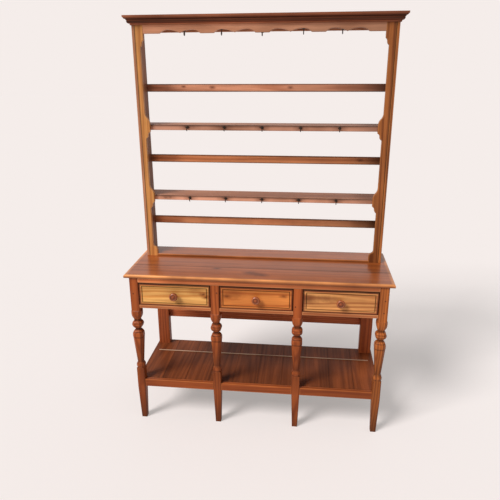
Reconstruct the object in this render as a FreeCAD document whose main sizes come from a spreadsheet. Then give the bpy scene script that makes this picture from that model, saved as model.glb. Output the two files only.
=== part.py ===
# Kitchen dresser with an open plate rack, three drawers and a pot board.
# Millimetres, +Z up, front towards -Y, origin under the middle of the piece on the floor.
import os
import math

import FreeCAD
import Part
import Sketcher

doc = FreeCAD.newDocument("kitchen_dresser")
sheet = doc.addObject("Spreadsheet::Sheet", "Sizes")

# Driving sizes: name, millimetres, what it measures.
DRIVING = [
    ("top_width", 1258, "worktop, end to end"),
    ("top_depth", 435, "worktop, front to back"),
    ("top_height", 800, "floor to the worktop's upper face"),
    ("top_thick", 17, "worktop board"),
    ("top_nose", 7.5, "rounding of the worktop's upper front and end edges"),
    ("top_under_nose", 4, "rounding of the worktop's lower front and end edges"),
    ("top_front_board", 147, "depth of the worktop's front board"),
    ("arris", 1.2, "easing along sawn edges"),
    ("leg_end_inset", 44, "worktop's end to the axis of an outer front leg"),
    ("leg_block", 42, "square block at the head of a front leg"),
    ("leg_setback", 8, "worktop's front edge to the face of the leg blocks"),
    ("leg_block_drop", 16, "rails under the drawers down to the underside of the leg block"),
    ("leg_cup", 50, "across the cup under the block"),
    ("leg_neck", 31.5, "across the neck over the ball"),
    ("leg_low_neck", 25, "across the neck under the ball"),
    ("leg_ball", 52, "across the ball"),
    ("leg_bell", 52, "across the bell"),
    ("leg_waist", 29, "across the thin end of the long taper"),
    ("leg_collar", 39, "across the collar"),
    ("leg_foot_top", 39, "across the square foot at its head"),
    ("leg_foot", 27, "across the tapered foot at the floor"),
    ("foot_square", 107, "head of the foot down to the start of its taper"),
    ("foot_step", 8, "head of the foot up to the collar"),
    ("collar_tall", 16, "collar, height"),
    ("collar_step", 2, "collar over the small step under it"),
    ("collar_bow", 1, "swell of the collar"),
    ("waist_rise", 10, "collar up to the thin end of the long taper"),
    ("taper_long", 141, "thin end of the long taper up to the bell"),
    ("bell_step", 1, "bell over the head of the long taper"),
    ("bell_bevel", 3, "small bevel under the bell, height"),
    ("bell_band", 12, "straight band of the bell, height"),
    ("bell_drop", 130, "leg block down to the top of the bell's band"),
    ("bell_top_drop", 106, "leg block down to the top of the bell"),
    ("ball_low_drop", 98, "leg block down to the underside of the ball"),
    ("ball_top_drop", 58, "leg block down to the top of the ball"),
    ("cup_drop", 49, "leg block down to the foot of the cup"),
    ("cup_band", 13, "straight band of the cup, height"),
    ("cup_bevel", 5, "bevel from the cup's band to the block, height"),
    ("leg_corner", 1.1, "corner facets of the baluster, distance over half width"),
    ("back_leg_wide", 48, "back leg, side to side"),
    ("back_leg_deep", 44, "back leg, front to back"),
    ("back_leg_inset", 33, "worktop's end to the outer face of a back leg"),
    ("back_inset", 2, "worktop's back edge to the back of the legs"),
    ("top_rail_tall", 24, "rail over the drawers"),
    ("rail_deep", 34, "rails over and under the drawers, front to back"),
    ("drawer_rail_tall", 16, "rails under the drawers"),
    ("drawer_open_tall", 115, "drawer opening, height"),
    ("end_rail_thick", 20, "end rails of the base"),
    ("end_rail_inset", 2, "outer face of a leg block to the end rail"),
    ("apron_tall", 395, "deep back board between the back legs"),
    ("apron_thick", 18, "back board thickness"),
    ("tenon_long", 14, "tenons of the rails"),
    ("tenon_thick", 9, "thickness of the tenons"),
    ("pot_tenon_long", 11, "tenons of the pot board's front rails"),
    ("shoulder", 3, "tenon shoulder"),
    ("fit", 0.1, "clearance of a tenon or a shelf end in its housing"),
    ("overcut", 5, "how far a cutting block runs past the face it opens"),
    ("runner_lip", 20, "runner under a drawer side"),
    ("guide_tall", 30, "guide strip beside a drawer"),
    ("drawer_gap", 3, "gap beside and over a drawer front"),
    ("drawer_lift", 1, "gap under a drawer front"),
    ("drawer_front_thick", 20, "drawer front"),
    ("drawer_recess", 1, "leg face to the drawer front's face"),
    ("drawer_side_thick", 10, "drawer sides and backs"),
    ("drawer_side_drop", 12, "top of a drawer front to the top of its sides"),
    ("drawer_bottom_thick", 6, "drawer bottom board"),
    ("drawer_bottom_lift", 8, "underside of the sides to the groove for the bottom"),
    ("drawer_groove", 5, "depth of the groove for the bottom"),
    ("drawer_slack", 0.5, "clearance of the bottom in its groove and of a front before its stop"),
    ("drawer_inset", 1, "end of a drawer front to the outer face of its side"),
    ("drawer_back_gap", 4, "drawer back to the line of the back legs"),
    ("drawer_bead", 13, "beaded border of a drawer front"),
    ("drawer_quirk", 3, "sunk line inside the border, width and depth"),
    ("drawer_round", 3, "rounding of the border"),
    ("stop_long", 40, "drawer stop block"),
    ("stop_tall", 6, "drawer stop block, height"),
    ("knob_wide", 40, "turned knob"),
    ("knob_neck", 20, "neck of the knob"),
    ("knob_long", 29, "knob, from the drawer front out"),
    ("pot_drop", 62, "head of the square foot down to the pot board's upper face"),
    ("pot_rail_tall", 40, "front rails of the pot board"),
    ("pot_rail_thick", 20, "front rails of the pot board"),
    ("pot_rail_recess", 1.5, "foot face to the front rail's face at the rail"),
    ("pot_board_thick", 18, "pot boards"),
    ("pot_board_gap", 0.6, "seam between pot boards"),
    ("pot_strip_back", 128, "back of the pot boards to the strip laid across them"),
    ("pot_strip_deep", 5, "strip across the pot boards, front to back"),
    ("pot_strip_tall", 3, "strip across the pot boards, height"),
    ("pot_strip_inset", 28, "ends of the pot board to the ends of the strip"),
    ("pot_end_inset", 26, "worktop's end to the pot board's end"),
    ("pot_bearer_wide", 22, "bearers under the pot boards"),
    ("pot_bearer_inset", 4, "inner face of a back leg to the end bearer"),
    ("notch_gap", 0.5, "clearance of a notch round a leg"),
    ("rack_end_inset", 32, "worktop's end to the rack's side board"),
    ("rack_depth", 150, "rack side boards, front to back"),
    ("rack_side_thick", 13, "rack side boards"),
    ("rack_lower_space", 317, "worktop up to the lower shelf's top"),
    ("rack_middle_space", 346, "lower shelf's top up to the upper shelf's top"),
    ("rack_upper_space", 406, "upper shelf's top up to the frieze's straight lower edge"),
    ("stile_thick", 18, "shaped front stiles"),
    ("stile_narrow", 22, "front stile between the ears"),
    ("stile_ear", 43, "front stile at the ears and the foot"),
    ("stile_head", 38, "front stile beside the frieze"),
    ("stile_head_tall", 83, "top of the rack side boards down to the foot of the stile's head"),
    ("stile_head_slope", 30, "curve from the stile's head to its narrow part"),
    ("ear_up", 58, "shelf top up to the start of an ear"),
    ("ear_flat_up", 6, "shelf top up to the flat of an ear"),
    ("ear_flat_down", 32, "shelf top down to the end of the flat"),
    ("ear_down", 64, "shelf top down to the end of an ear"),
    ("foot_flare_up", 62, "worktop up to the start of the stile's foot"),
    ("foot_flare_flat", 33, "worktop up to the flat of the stile's foot"),
    ("shelf_thick", 20, "rack shelves"),
    ("housing", 5, "housing of the shelf ends in the side boards"),
    ("rack_floor_thick", 10, "board on the worktop between the rack's sides"),
    ("rack_floor_inset", 34, "back of the rack to that board's back edge"),
    ("plate_rail_tall", 33, "plate rails"),
    ("plate_rail_thick", 12, "plate rails"),
    ("plate_rail_upper", 152, "upper shelf's top to the underside of the upper plate rail"),
    ("plate_rail_middle", 153, "lower shelf's top to the underside of the middle plate rail"),
    ("plate_rail_lower", 144, "worktop to the underside of the lower plate rail"),
    ("rear_rail_tall", 43, "rail at the back under the rack's top board"),
    ("rear_rail_thick", 14, "rail at the back under the rack's top board"),
    ("roof_thick", 18, "top board of the rack"),
    ("frieze_thick", 14, "scalloped frieze"),
    ("frieze_recess", 2, "stile face to the frieze's face"),
    ("frieze_tall", 56, "frieze, from its straight lower edge to the top of the rack side boards"),
    ("scallop_rise", 15, "height of the scallops"),
    ("scallop_end", 77, "end of the frieze to the first scallop"),
    ("scallop_crown", 36, "end of a pair to the crown of its hump"),
    ("scallop_cusp", 1.5, "cusp between two humps over the straight edge"),
    ("scallop_flat", 62, "straight edge between two pairs"),
    ("cornice_lap", 20, "lap of the cornice over the rack side boards"),
    ("cornice_tall", 40, "cornice moulding"),
    ("cornice_out", 31, "projection of the cornice"),
    ("hook_end_gap", 222, "rack's side board to the first cup hook on a shelf"),
    ("hook_bend", 8, "bend of a cup hook, to the middle of the wire"),
    ("hook_wire", 2.8, "wire of a cup hook"),
    ("hook_plate", 9, "round plate of a cup hook"),
    ("hook_neck", 5, "straight part of a cup hook"),
    ("hook_plate_thick", 1.5, "round plate of a cup hook, thickness"),
    ("hook_seat", 0.4, "crown of a scallop down to the plate of a hook under it"),
    ("hook_long_neck", 15, "straight part of a hook under a crown"),
    ("hook_shift", 36, "outer crowns to the outermost hooks, towards the cusp"),
    ("hook_shift_drop", 6.1, "plates at the crowns down to the outermost plates"),
]


class Size:
    """A length that carries its number together with the formula that yields it from the sheet."""

    def __init__(self, value, text):
        self.value = float(value)
        self.text = text

    @staticmethod
    def of(other):
        if isinstance(other, Size):
            return other
        return Size(other, "({:.6g})".format(other))

    def join(self, sign, other, value):
        return Size(value, "({} {} {})".format(self.text, sign, other.text))

    def __add__(self, other):
        other = Size.of(other)
        return self.join("+", other, self.value + other.value)

    def __sub__(self, other):
        other = Size.of(other)
        return self.join("-", other, self.value - other.value)

    def __mul__(self, other):
        other = Size.of(other)
        return self.join("*", other, self.value * other.value)

    def __truediv__(self, other):
        other = Size.of(other)
        return self.join("/", other, self.value / other.value)

    def __radd__(self, other):
        return Size.of(other) + self

    def __rsub__(self, other):
        return Size.of(other) - self

    def __rmul__(self, other):
        return Size.of(other) * self

    def __neg__(self):
        return Size.of(0) - self


for row, (alias, number, meaning) in enumerate(DRIVING, start=1):
    sheet.set("A{}".format(row), meaning)
    sheet.set("B{}".format(row), str(number))
    sheet.setAlias("B{}".format(row), alias)
doc.recompute()
size = {alias: Size(number, "Sizes." + alias) for alias, number, meaning in DRIVING}

NODES = []


def bind(target, prop, length):
    """Ties a property to its formula."""
    target.setExpression(prop, Size.of(length).text)


def place(target, corner):
    """Ties an object's position to three formulas."""
    for axis, length in zip("xyz", corner):
        bind(target, "Placement.Base." + axis, length)


def node(target, label):
    """Names a finished sub-part."""
    target.Label = label
    NODES.append(target)
    return target


def set_box(box, dims, corner=None):
    for prop, length in zip(("Length", "Width", "Height"), dims):
        bind(box, prop, length)
    if corner is not None:
        place(box, corner)
    return box


def plank(label, dims, corner, ease=size["arris"], tenons=(), grooves=(), own_node=True):
    """A sawn board: a block with eased edges, tenons added and housings cut, in its own corner's frame."""
    body = doc.addObject("PartDesign::Body", label)
    last = set_box(body.newObject("PartDesign::AdditiveBox", label + "_stock"), dims)
    if ease is not None:
        eased = body.newObject("PartDesign::Chamfer", label + "_arris")
        eased.Base = (last, ["Edge1"])
        eased.UseAllEdges = True
        bind(eased, "Size", ease)
        last = eased
    for number, (box_dims, box_corner) in enumerate(tenons):
        last = body.newObject("PartDesign::AdditiveBox", "{}_tenon_{}".format(label, number))
        set_box(last, box_dims, box_corner)
    for number, (box_dims, box_corner) in enumerate(grooves):
        last = body.newObject("PartDesign::SubtractiveBox", "{}_housing_{}".format(label, number))
        set_box(last, box_dims, box_corner)
    body.Tip = last
    place(body, corner)
    if own_node:
        node(body, label)
    return body


def group(label, members):
    """Several equal solids that count as one sub-part."""
    joined = doc.addObject("Part::Compound", label)
    joined.Links = members
    return node(joined, label)


def arc_geometry(start, end, radius, turn):
    """Minor arc between two points, anticlockwise for turn +1, with its start and end vertex numbers."""
    chord = end - start
    half = chord.Length / 2.0
    rise = math.sqrt(max(radius * radius - half * half, 0.0))
    left = FreeCAD.Vector(-chord.y, chord.x, 0).normalize()
    centre = (start + end) * 0.5 + left * (rise * turn)
    first, second = (start, end) if turn > 0 else (end, start)
    a0 = math.atan2(first.y - centre.y, first.x - centre.x)
    a1 = math.atan2(second.y - centre.y, second.x - centre.x)
    if a1 < a0:
        a1 += 2.0 * math.pi
    circle = Part.Circle(centre, FreeCAD.Vector(0, 0, 1), radius)
    return Part.ArcOfCircle(circle, a0, a1), ((1, 2) if turn > 0 else (2, 1))


def fill_sketch(sketch, loop):
    """Draws one closed loop of steps (x, y), or (x, y, radius, turn) where an arc leaves the point."""
    edges = []
    for step, following in zip(loop, loop[1:] + loop[:1]):
        start = FreeCAD.Vector(Size.of(step[0]).value, Size.of(step[1]).value, 0)
        end = FreeCAD.Vector(Size.of(following[0]).value, Size.of(following[1]).value, 0)
        if len(step) == 2:
            edges.append((sketch.addGeometry(Part.LineSegment(start, end)), (1, 2)))
        else:
            arc, ends = arc_geometry(start, end, Size.of(step[2]).value, step[3])
            edges.append((sketch.addGeometry(arc), ends))
    for (one, one_ends), (two, two_ends) in zip(edges, edges[1:] + edges[:1]):
        sketch.addConstraint(Sketcher.Constraint("Coincident", one, one_ends[1], two, two_ends[0]))
    for step, (edge, ends) in zip(loop, edges):
        for kind, length in zip(("DistanceX", "DistanceY"), step):
            length = Size.of(length)
            number = sketch.addConstraint(Sketcher.Constraint(kind, -1, 1, edge, ends[0], length.value))
            bind(sketch, "Constraints[{}]".format(number), length)
        if len(step) == 4:
            radius = Size.of(step[2])
            number = sketch.addConstraint(Sketcher.Constraint("Radius", edge, radius.value))
            bind(sketch, "Constraints[{}]".format(number), radius)
    return sketch


UPRIGHT_FRONT = FreeCAD.Rotation(FreeCAD.Vector(1, 0, 0), 90)
UPRIGHT_SIDE = FreeCAD.Rotation(FreeCAD.Vector(0, 0, 1), 90).multiply(UPRIGHT_FRONT)
FLAT = FreeCAD.Rotation()


def prism(label, loop, turn, length, symmetric=True):
    """A closed outline, turned into its plane, run out along the plane's normal."""
    sketch = doc.addObject("Sketcher::SketchObject", label + "_outline")
    sketch.Placement = FreeCAD.Placement(FreeCAD.Vector(0, 0, 0), turn)
    fill_sketch(sketch, loop)
    run = doc.addObject("Part::Extrusion", label)
    run.Base = sketch
    run.DirMode = "Normal"
    run.Solid = True
    run.Symmetric = symmetric
    bind(run, "LengthFwd", length)
    return run


def plain_box(label, dims, corner):
    return set_box(doc.addObject("Part::Box", label), dims, corner)


def arc_radius(across, along):
    """Radius of an arc that leaves a point square to 'across' and reaches (across, along) from there."""
    return (across * across + along * along) / (2 * across)


def bow_radius(chord, sagitta):
    return (chord * chord / 4 + sagitta * sagitta) / (2 * sagitta)


# Lines that the whole piece is set out from.
knob_out = size["knob_long"] - size["leg_setback"] - size["drawer_recess"]
back = (size["top_depth"] + knob_out) / 2
front = back - size["top_depth"]
leg_face = front + size["leg_setback"]
leg_axis = leg_face + size["leg_block"] / 2
leg_back = leg_face + size["leg_block"]
under_top = size["top_height"] - size["top_thick"]
top_rail_low = under_top - size["top_rail_tall"]
drawer_rail_top = top_rail_low - size["drawer_open_tall"]
drawer_rail_low = drawer_rail_top - size["drawer_rail_tall"]
base_half = size["top_width"] / 2
outer_leg = base_half - size["leg_end_inset"]
leg_pitch = outer_leg * 2 / 3
opening = leg_pitch - size["leg_block"]
legs_at = [-outer_leg, -leg_pitch / 2, leg_pitch / 2, outer_leg]
bays_at = [-leg_pitch, Size.of(0), leg_pitch]
BAYS = ["left", "middle", "right"]
back_leg_outer = base_half - size["back_leg_inset"]
back_leg_inner = back_leg_outer - size["back_leg_wide"]
back_leg_front = back - size["back_inset"] - size["back_leg_deep"]
block_outer = outer_leg + size["leg_block"] / 2
end_rail_outer = block_outer - size["end_rail_inset"]
end_rail_inner = end_rail_outer - size["end_rail_thick"]
apron_front = back - size["back_inset"] - size["apron_thick"]
block_low = drawer_rail_low - size["leg_block_drop"]
cup_low = block_low - size["cup_drop"]
ball_top = block_low - size["ball_top_drop"]
ball_low = block_low - size["ball_low_drop"]
bell_top = block_low - size["bell_top_drop"]
bell_at = block_low - size["bell_drop"]
bell_low = bell_at - size["bell_band"]
taper_top = bell_low - size["bell_bevel"]
waist_at = taper_top - size["taper_long"]
collar_top = waist_at - size["waist_rise"]
collar_low = collar_top - size["collar_tall"]
foot_tall = collar_low - size["foot_step"]
foot_taper_at = foot_tall - size["foot_square"]
pot_top = foot_tall - size["pot_drop"]
pot_rail_low = pot_top - size["pot_rail_tall"]
tenon_long = size["tenon_long"]
tenon_thick = size["tenon_thick"]
shoulder = size["shoulder"]
fit = size["fit"]
over = size["overcut"]


# Front legs: square stock sawn to a baluster outline on both faces, corners taken off along the
# baluster, square foot tapered to the floor, square block at the head.
cup_top = block_low - size["cup_bevel"]
cup_band_low = cup_top - size["cup_band"]


def baluster_half(middle, ends):
    """Half outline from the floor up, as (half width, height, optional arc), widened by the factors."""
    neck = size["leg_neck"] / 2 * middle
    low_neck = size["leg_low_neck"] / 2 * middle
    bell = size["leg_bell"] / 2 * middle
    cup = size["leg_cup"] / 2 * middle
    collar = size["leg_collar"] / 2 * middle
    waist = size["leg_waist"] / 2 * middle
    ball_out = size["leg_ball"] / 2 * middle - (neck + low_neck) / 2
    block = size["leg_block"] / 2 * ends
    head = size["leg_foot_top"] / 2 * ends
    foot = size["leg_foot"] / 2 * ends
    return [
        (foot, Size.of(0)),
        (head, foot_taper_at),
        (head, foot_tall),
        (collar - size["collar_step"], (foot_tall + collar_low) / 2),
        (collar, collar_low, bow_radius(size["collar_tall"], size["collar_bow"]), 1),
        (collar, collar_top),
        (waist, waist_at),
        (bell - size["bell_step"], taper_top),
        (bell, bell_low),
        (bell, bell_at, arc_radius(bell - low_neck, bell_top - bell_at) * 1.02, 1),
        (low_neck, bell_top),
        (low_neck, ball_low, bow_radius(ball_top - ball_low, ball_out) * 1.01, 1),
        (neck, ball_top),
        (neck, cup_low, arc_radius(cup - neck, cup_band_low - cup_low), 1),
        (cup, cup_band_low),
        (cup, cup_top),
        (block, block_low),
        (block, under_top),
    ]


def mirror_loop(half):
    """Closes a half outline over the axis; arcs keep their bulge."""
    loop = list(half)
    points = half[::-1]
    for point, before in zip(points, points[1:] + [None]):
        step = (-point[0], point[1])
        if before is not None and len(before) == 4:
            step = step + before[2:]
        loop.append(step)
    return loop


leg_run = size["leg_bell"] + over * 4
square_corner = math.sqrt(2.0)
faces = [("leg_face_cut", UPRIGHT_FRONT, 1.0, 1.0), ("leg_side_cut", UPRIGHT_SIDE, 1.0, 1.0)]
for sign, tag in ((1, "a"), (-1, "b")):
    skew = FreeCAD.Rotation(FreeCAD.Vector(0, 0, 1), 45 * sign).multiply(UPRIGHT_FRONT)
    faces.append(("leg_corner_cut_" + tag, skew, size["leg_corner"], square_corner * 0.955))
leg_cuts = [
    prism(label, mirror_loop(baluster_half(Size.of(middle), Size.of(ends))), turn, leg_run * 1.5)
    for label, turn, middle, ends in faces
]
leg_blank = doc.addObject("Part::MultiCommon", "leg_blank")
leg_blank.Shapes = leg_cuts

# Rail tenons, as (thickness across Y, height, low edge) in the frame of the leg axis and the floor.
rail_mid = size["rail_deep"] / 2 - size["leg_block"] / 2
rail_tenon_y = rail_mid - size["rail_deep"] / 4
pot_rail_face = leg_axis - size["leg_foot_top"] / 2 + size["pot_rail_recess"]
pot_tenon_y = pot_rail_face - leg_axis + (size["pot_rail_thick"] - tenon_thick) / 2
TOP_RAIL = ("top_rail", rail_tenon_y, size["rail_deep"] / 2,
            top_rail_low + shoulder, size["top_rail_tall"] - shoulder * 2)
DRAWER_RAIL = ("drawer_rail", rail_tenon_y, size["rail_deep"] / 2, drawer_rail_low + shoulder,
               size["drawer_rail_tall"] - shoulder * 2)
POT_RAIL = ("pot_rail", pot_tenon_y, tenon_thick,
            pot_rail_low + shoulder * 2, size["pot_rail_tall"] - shoulder * 4)
pot_tenon_long = size["pot_tenon_long"]
POT_LEG_HALF = size["leg_foot_top"] / 2


def side_mortise(label, spec, side, depth, inset):
    """Mortise in a leg's left or right face for a rail tenon."""
    name, y_low, y_size, z_low, z_size = spec
    dims = (depth + over, y_size + fit * 2, z_size + fit * 2)
    start = inset - depth if side > 0 else -inset - over
    return plain_box("{}_{}_mortise".format(label, name), dims, (start, y_low - fit, z_low - fit))


def back_mortise(label, side):
    """Mortise in the back of an outer leg for the tenon of the end rail."""
    centre = (end_rail_outer + end_rail_inner) / 2 - outer_leg
    x_low = centre * side - tenon_thick / 2 - fit
    depth = tenon_long + fit
    dims = (tenon_thick + fit * 2, depth + over, under_top - drawer_rail_low - shoulder * 4 + fit * 2)
    corner = (x_low, size["leg_block"] / 2 - depth, drawer_rail_low + shoulder * 2 - fit)
    return plain_box(label + "_end_mortise", dims, corner)


LEGS = ["leg_front_left", "leg_front_inner_left", "leg_front_inner_right", "leg_front_right"]
half_block = size["leg_block"] / 2
for number, label in enumerate(LEGS):
    cutters = []
    for side in (-1, 1):
        if (number, side) in ((0, -1), (3, 1)):
            continue
        tag = "{}_{}".format(label, "r" if side > 0 else "l")
        cutters.append(side_mortise(tag, DRAWER_RAIL, side, tenon_long + fit, half_block))
        cutters.append(side_mortise(tag, POT_RAIL, side, pot_tenon_long + fit, POT_LEG_HALF))
        if number in (0, 3):
            cutters.append(side_mortise(tag, TOP_RAIL, side, tenon_long + fit, half_block))
    if number in (0, 3):
        cutters.append(back_mortise(label, -1 if number == 0 else 1))
    else:
        # The inner legs stop under the rail that runs over the drawers.
        cutters.append(plain_box(label + "_head", (leg_run, leg_run, size["top_rail_tall"] + over),
                                 (-leg_run / 2, -leg_run / 2, top_rail_low)))
    waste = doc.addObject("Part::MultiFuse", label + "_waste")
    waste.Shapes = cutters
    leg = doc.addObject("Part::Cut", label)
    leg.Base = leg_blank
    leg.Tool = waste
    place(leg, (legs_at[number], leg_axis, Size.of(0)))
    node(leg, label)

# Back legs: plain square posts, mortised for the deep back board and the end rails.
apron_low = under_top - size["apron_tall"]
apron_tenon_y = apron_front + (size["apron_thick"] - tenon_thick) / 2
end_tenon_x = (end_rail_outer + end_rail_inner) / 2 - tenon_thick / 2
end_tall = under_top - drawer_rail_low
for label, side in (("leg_back_left", -1), ("leg_back_right", 1)):
    corner_x = back_leg_inner if side > 0 else -back_leg_outer
    apron_x = Size.of(0) if side > 0 else size["back_leg_wide"] - tenon_long - fit
    end_x = end_tenon_x - back_leg_inner if side > 0 else back_leg_outer - end_tenon_x - tenon_thick
    grooves = [
        ((tenon_long + fit, tenon_thick + fit * 2, size["apron_tall"] - shoulder * 4 + fit * 2),
         (apron_x, apron_tenon_y - fit - back_leg_front, apron_low + shoulder * 2 - fit)),
        ((tenon_thick + fit * 2, tenon_long + fit, end_tall - shoulder * 4 + fit * 2),
         (end_x - fit, Size.of(0), drawer_rail_low + shoulder * 2 - fit)),
    ]
    plank(label, (size["back_leg_wide"], size["back_leg_deep"], under_top),
          (corner_x, back_leg_front, Size.of(0)), ease=size["arris"] * 2, grooves=grooves)


def cross_rail(label, x_low, x_high, face, deep, low, tall, spec, long):
    """A rail across the front with a tenon at each end."""
    name, y_low, y_size, z_low, z_size = spec
    y_in = leg_axis + y_low - face
    ends = [((long + 1, y_size, z_size), (start, y_in, z_low - low)) for start in (-long, x_high - x_low - 1)]
    plank(label, (x_high - x_low, deep, tall), (x_low, face, low), tenons=ends)


cross_rail("rail_over_drawers", legs_at[0] + half_block, legs_at[3] - half_block, leg_face, size["rail_deep"],
           top_rail_low, size["top_rail_tall"], TOP_RAIL, tenon_long)
for bay, middle in zip(BAYS, bays_at):
    cross_rail("drawer_rail_" + bay, middle - opening / 2, middle + opening / 2, leg_face, size["rail_deep"],
               drawer_rail_low, size["drawer_rail_tall"], DRAWER_RAIL, tenon_long)

# End rails: wide boards between the front and back legs, tenoned into both.
end_front = leg_back
end_long = back_leg_front - leg_back
for label, side in (("end_rail_left", -1), ("end_rail_right", 1)):
    corner_x = end_rail_inner if side > 0 else -end_rail_outer
    tongue = end_tall - shoulder * 4
    inset = (size["end_rail_thick"] - tenon_thick) / 2
    tenons = [((tenon_thick, tenon_long + 1, tongue), (inset, start, shoulder * 2))
              for start in (-tenon_long, end_long - 1)]
    plank(label, (size["end_rail_thick"], end_long, end_tall),
          (corner_x, end_front, drawer_rail_low), tenons=tenons)

# Deep back board between the back legs.
apron_wide = back_leg_inner * 2
apron_tenon = ((tenon_long + 1, tenon_thick, size["apron_tall"] - shoulder * 4))
plank("back_board", (apron_wide, size["apron_thick"], size["apron_tall"]),
      (-back_leg_inner, apron_front, apron_low),
      tenons=[(apron_tenon, (start, (size["apron_thick"] - tenon_thick) / 2, shoulder * 2))
              for start in (-tenon_long, apron_wide - 1)])

# Runners under the drawer sides, guides beside them and kickers over them, on the four leg lines.
inside_front = leg_face + size["rail_deep"]
guide_front = leg_back
lip = size["runner_lip"]
lines = []
for number, at in enumerate(legs_at):
    if number == 0:
        lines.append((-end_rail_inner, at + half_block))
    elif number == 3:
        lines.append((at - half_block, end_rail_inner))
    else:
        lines.append((at - half_block, at + half_block))
runners, guides, kickers = [], [], []
for number, (low_x, high_x) in enumerate(lines):
    left_lip = lip if number > 0 else Size.of(0)
    right_lip = lip if number < 3 else Size.of(0)
    # A strip starts behind a leg block; the outer ones end at a back leg, the inner at the back board.
    guide_long = (back_leg_front if number in (0, 3) else apron_front) - guide_front
    wide = high_x - low_x + left_lip + right_lip
    runners.append(plank("runner_{}".format(number), (wide, guide_long, size["drawer_rail_tall"]),
                         (low_x - left_lip, guide_front, drawer_rail_low), own_node=False))
    guides.append(plank("guide_{}".format(number), (high_x - low_x, guide_long, size["guide_tall"]),
                        (low_x, guide_front, drawer_rail_top), own_node=False))
    kickers.append(plank("kicker_{}".format(number), (wide, guide_long, size["top_rail_tall"]),
                         (low_x - left_lip, guide_front, top_rail_low), own_node=False))
group("drawer_runners", runners)
group("drawer_guides", guides)
group("drawer_kickers", kickers)

# Worktop: two boards glued edge to edge, upper and lower edges rounded on the front and the ends.


def rounded_board(label, dims, corner, tests):
    """A board whose chosen edges are rounded; each test picks edges by the middle of the edge."""
    body = doc.addObject("PartDesign::Body", label)
    last = set_box(body.newObject("PartDesign::AdditiveBox", label + "_stock"), dims)
    doc.recompute()
    for number, (radius, test) in enumerate(tests):
        names = ["Edge{}".format(place_in + 1) for place_in, edge in enumerate(last.Shape.Edges)
                 if test(edge.BoundBox.Center)]
        rounded = body.newObject("PartDesign::Fillet", "{}_round_{}".format(label, number))
        rounded.Base = (last, names)
        bind(rounded, "Radius", radius)
        doc.recompute()
        last = rounded
    body.Tip = last
    place(body, corner)
    return node(body, label)


def at_ends(length):
    return lambda c: c.x < 0.01 or c.x > length.value - 0.01


def upper_edges(dims, with_front):
    ends = at_ends(dims[0])
    return lambda c: c.z > dims[2].value - 0.01 and (ends(c) or (with_front and c.y < 0.01))


def lower_edges(dims, with_front):
    ends = at_ends(dims[0])
    return lambda c: c.z < 0.01 and (ends(c) or (with_front and c.y < 0.01))


rear_board = size["top_depth"] - size["top_front_board"]
for label, deep, start, with_front in (
        ("worktop_front_board", size["top_front_board"], front, True),
        ("worktop_back_board", rear_board, front + size["top_front_board"], False)):
    dims = (size["top_width"], deep, size["top_thick"])
    rounded_board(label, dims, (-base_half, start, under_top),
                  [(size["top_nose"], upper_edges(dims, with_front)),
                   (size["top_under_nose"], lower_edges(dims, with_front))])

# Pot board: front rails between the legs, bearers inside them, boards laid front to back and a thin
# strip laid across them.
for bay, low_at, high_at in zip(BAYS, legs_at, legs_at[1:]):
    cross_rail("pot_rail_" + bay, low_at + POT_LEG_HALF, high_at - POT_LEG_HALF,
               pot_rail_face, size["pot_rail_thick"],
               pot_rail_low, size["pot_rail_tall"], POT_RAIL, pot_tenon_long)
pot_under = pot_top - size["pot_board_thick"]
pot_half = base_half - size["pot_end_inset"]
foot_half = size["leg_foot_top"] / 2
foot_back = leg_axis + foot_half
pot_rail_back = pot_rail_face + size["pot_rail_thick"]
bearer_wide = size["pot_bearer_wide"]
bearer_tall = pot_under - pot_rail_low
side_bearer_x = back_leg_inner + size["pot_bearer_inset"]
side_long = back_leg_front - foot_back
bearers = [
    plank("pot_bearer_left", (bearer_wide, side_long, bearer_tall),
          (-side_bearer_x - bearer_wide, foot_back, pot_rail_low), own_node=False),
    plank("pot_bearer_right", (bearer_wide, side_long, bearer_tall),
          (side_bearer_x, foot_back, pot_rail_low), own_node=False),
    plank("pot_bearer_back", (back_leg_inner * 2, bearer_wide, bearer_tall),
          (-back_leg_inner, back - size["back_inset"] - bearer_wide, pot_rail_low), own_node=False),
    plank("pot_bearer_front", (side_bearer_x * 2, bearer_wide, bearer_tall),
          (-side_bearer_x, foot_back, pot_rail_low), own_node=False),
    plank("pot_bearer_middle", (side_bearer_x * 2, bearer_wide, bearer_tall),
          (-side_bearer_x, back - size["pot_strip_back"] - bearer_wide / 2, pot_rail_low), own_node=False),
]
group("pot_bearers", bearers)

BOARDS = 10
pot_back = back - size["back_inset"]
seam = size["pot_board_gap"]
board_long = pot_back - pot_rail_back
board_pitch = pot_half * 2 / BOARDS
notch_gap = size["notch_gap"]
notch = size["leg_foot_top"] + notch_gap * 2
back_notch = size["back_leg_wide"] + notch_gap * 2
boards = []
for number in range(BOARDS):
    low_x = -pot_half + board_pitch * number
    wide = board_pitch - seam
    grooves = []
    for at in legs_at:
        left = at.value - notch.value / 2
        right = at.value + notch.value / 2
        if right > low_x.value and left < low_x.value + wide.value:
            notch_deep = foot_back - pot_rail_back + over + notch_gap
            grooves.append(((notch, notch_deep, size["pot_board_thick"] + over * 2),
                            (at - notch / 2 - low_x, -over, -over)))
    for at in (-back_leg_outer, back_leg_inner):
        if at.value + back_notch.value > low_x.value and at.value < low_x.value + wide.value:
            notch_deep = size["back_leg_deep"] + notch_gap
            grooves.append(((back_notch, notch_deep + over, size["pot_board_thick"] + over * 2),
                            (at - notch_gap - low_x, board_long - notch_deep, -over)))
    boards.append(plank("pot_board_{}".format(number), (wide, board_long, size["pot_board_thick"]),
                        (low_x, pot_rail_back, pot_under), grooves=grooves, own_node=False))
group("pot_boards", boards)
strip_half = pot_half - size["pot_strip_inset"]
plank("pot_strip", (strip_half * 2, size["pot_strip_deep"], size["pot_strip_tall"]),
      (-strip_half, pot_back - size["pot_strip_back"], pot_top))

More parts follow.
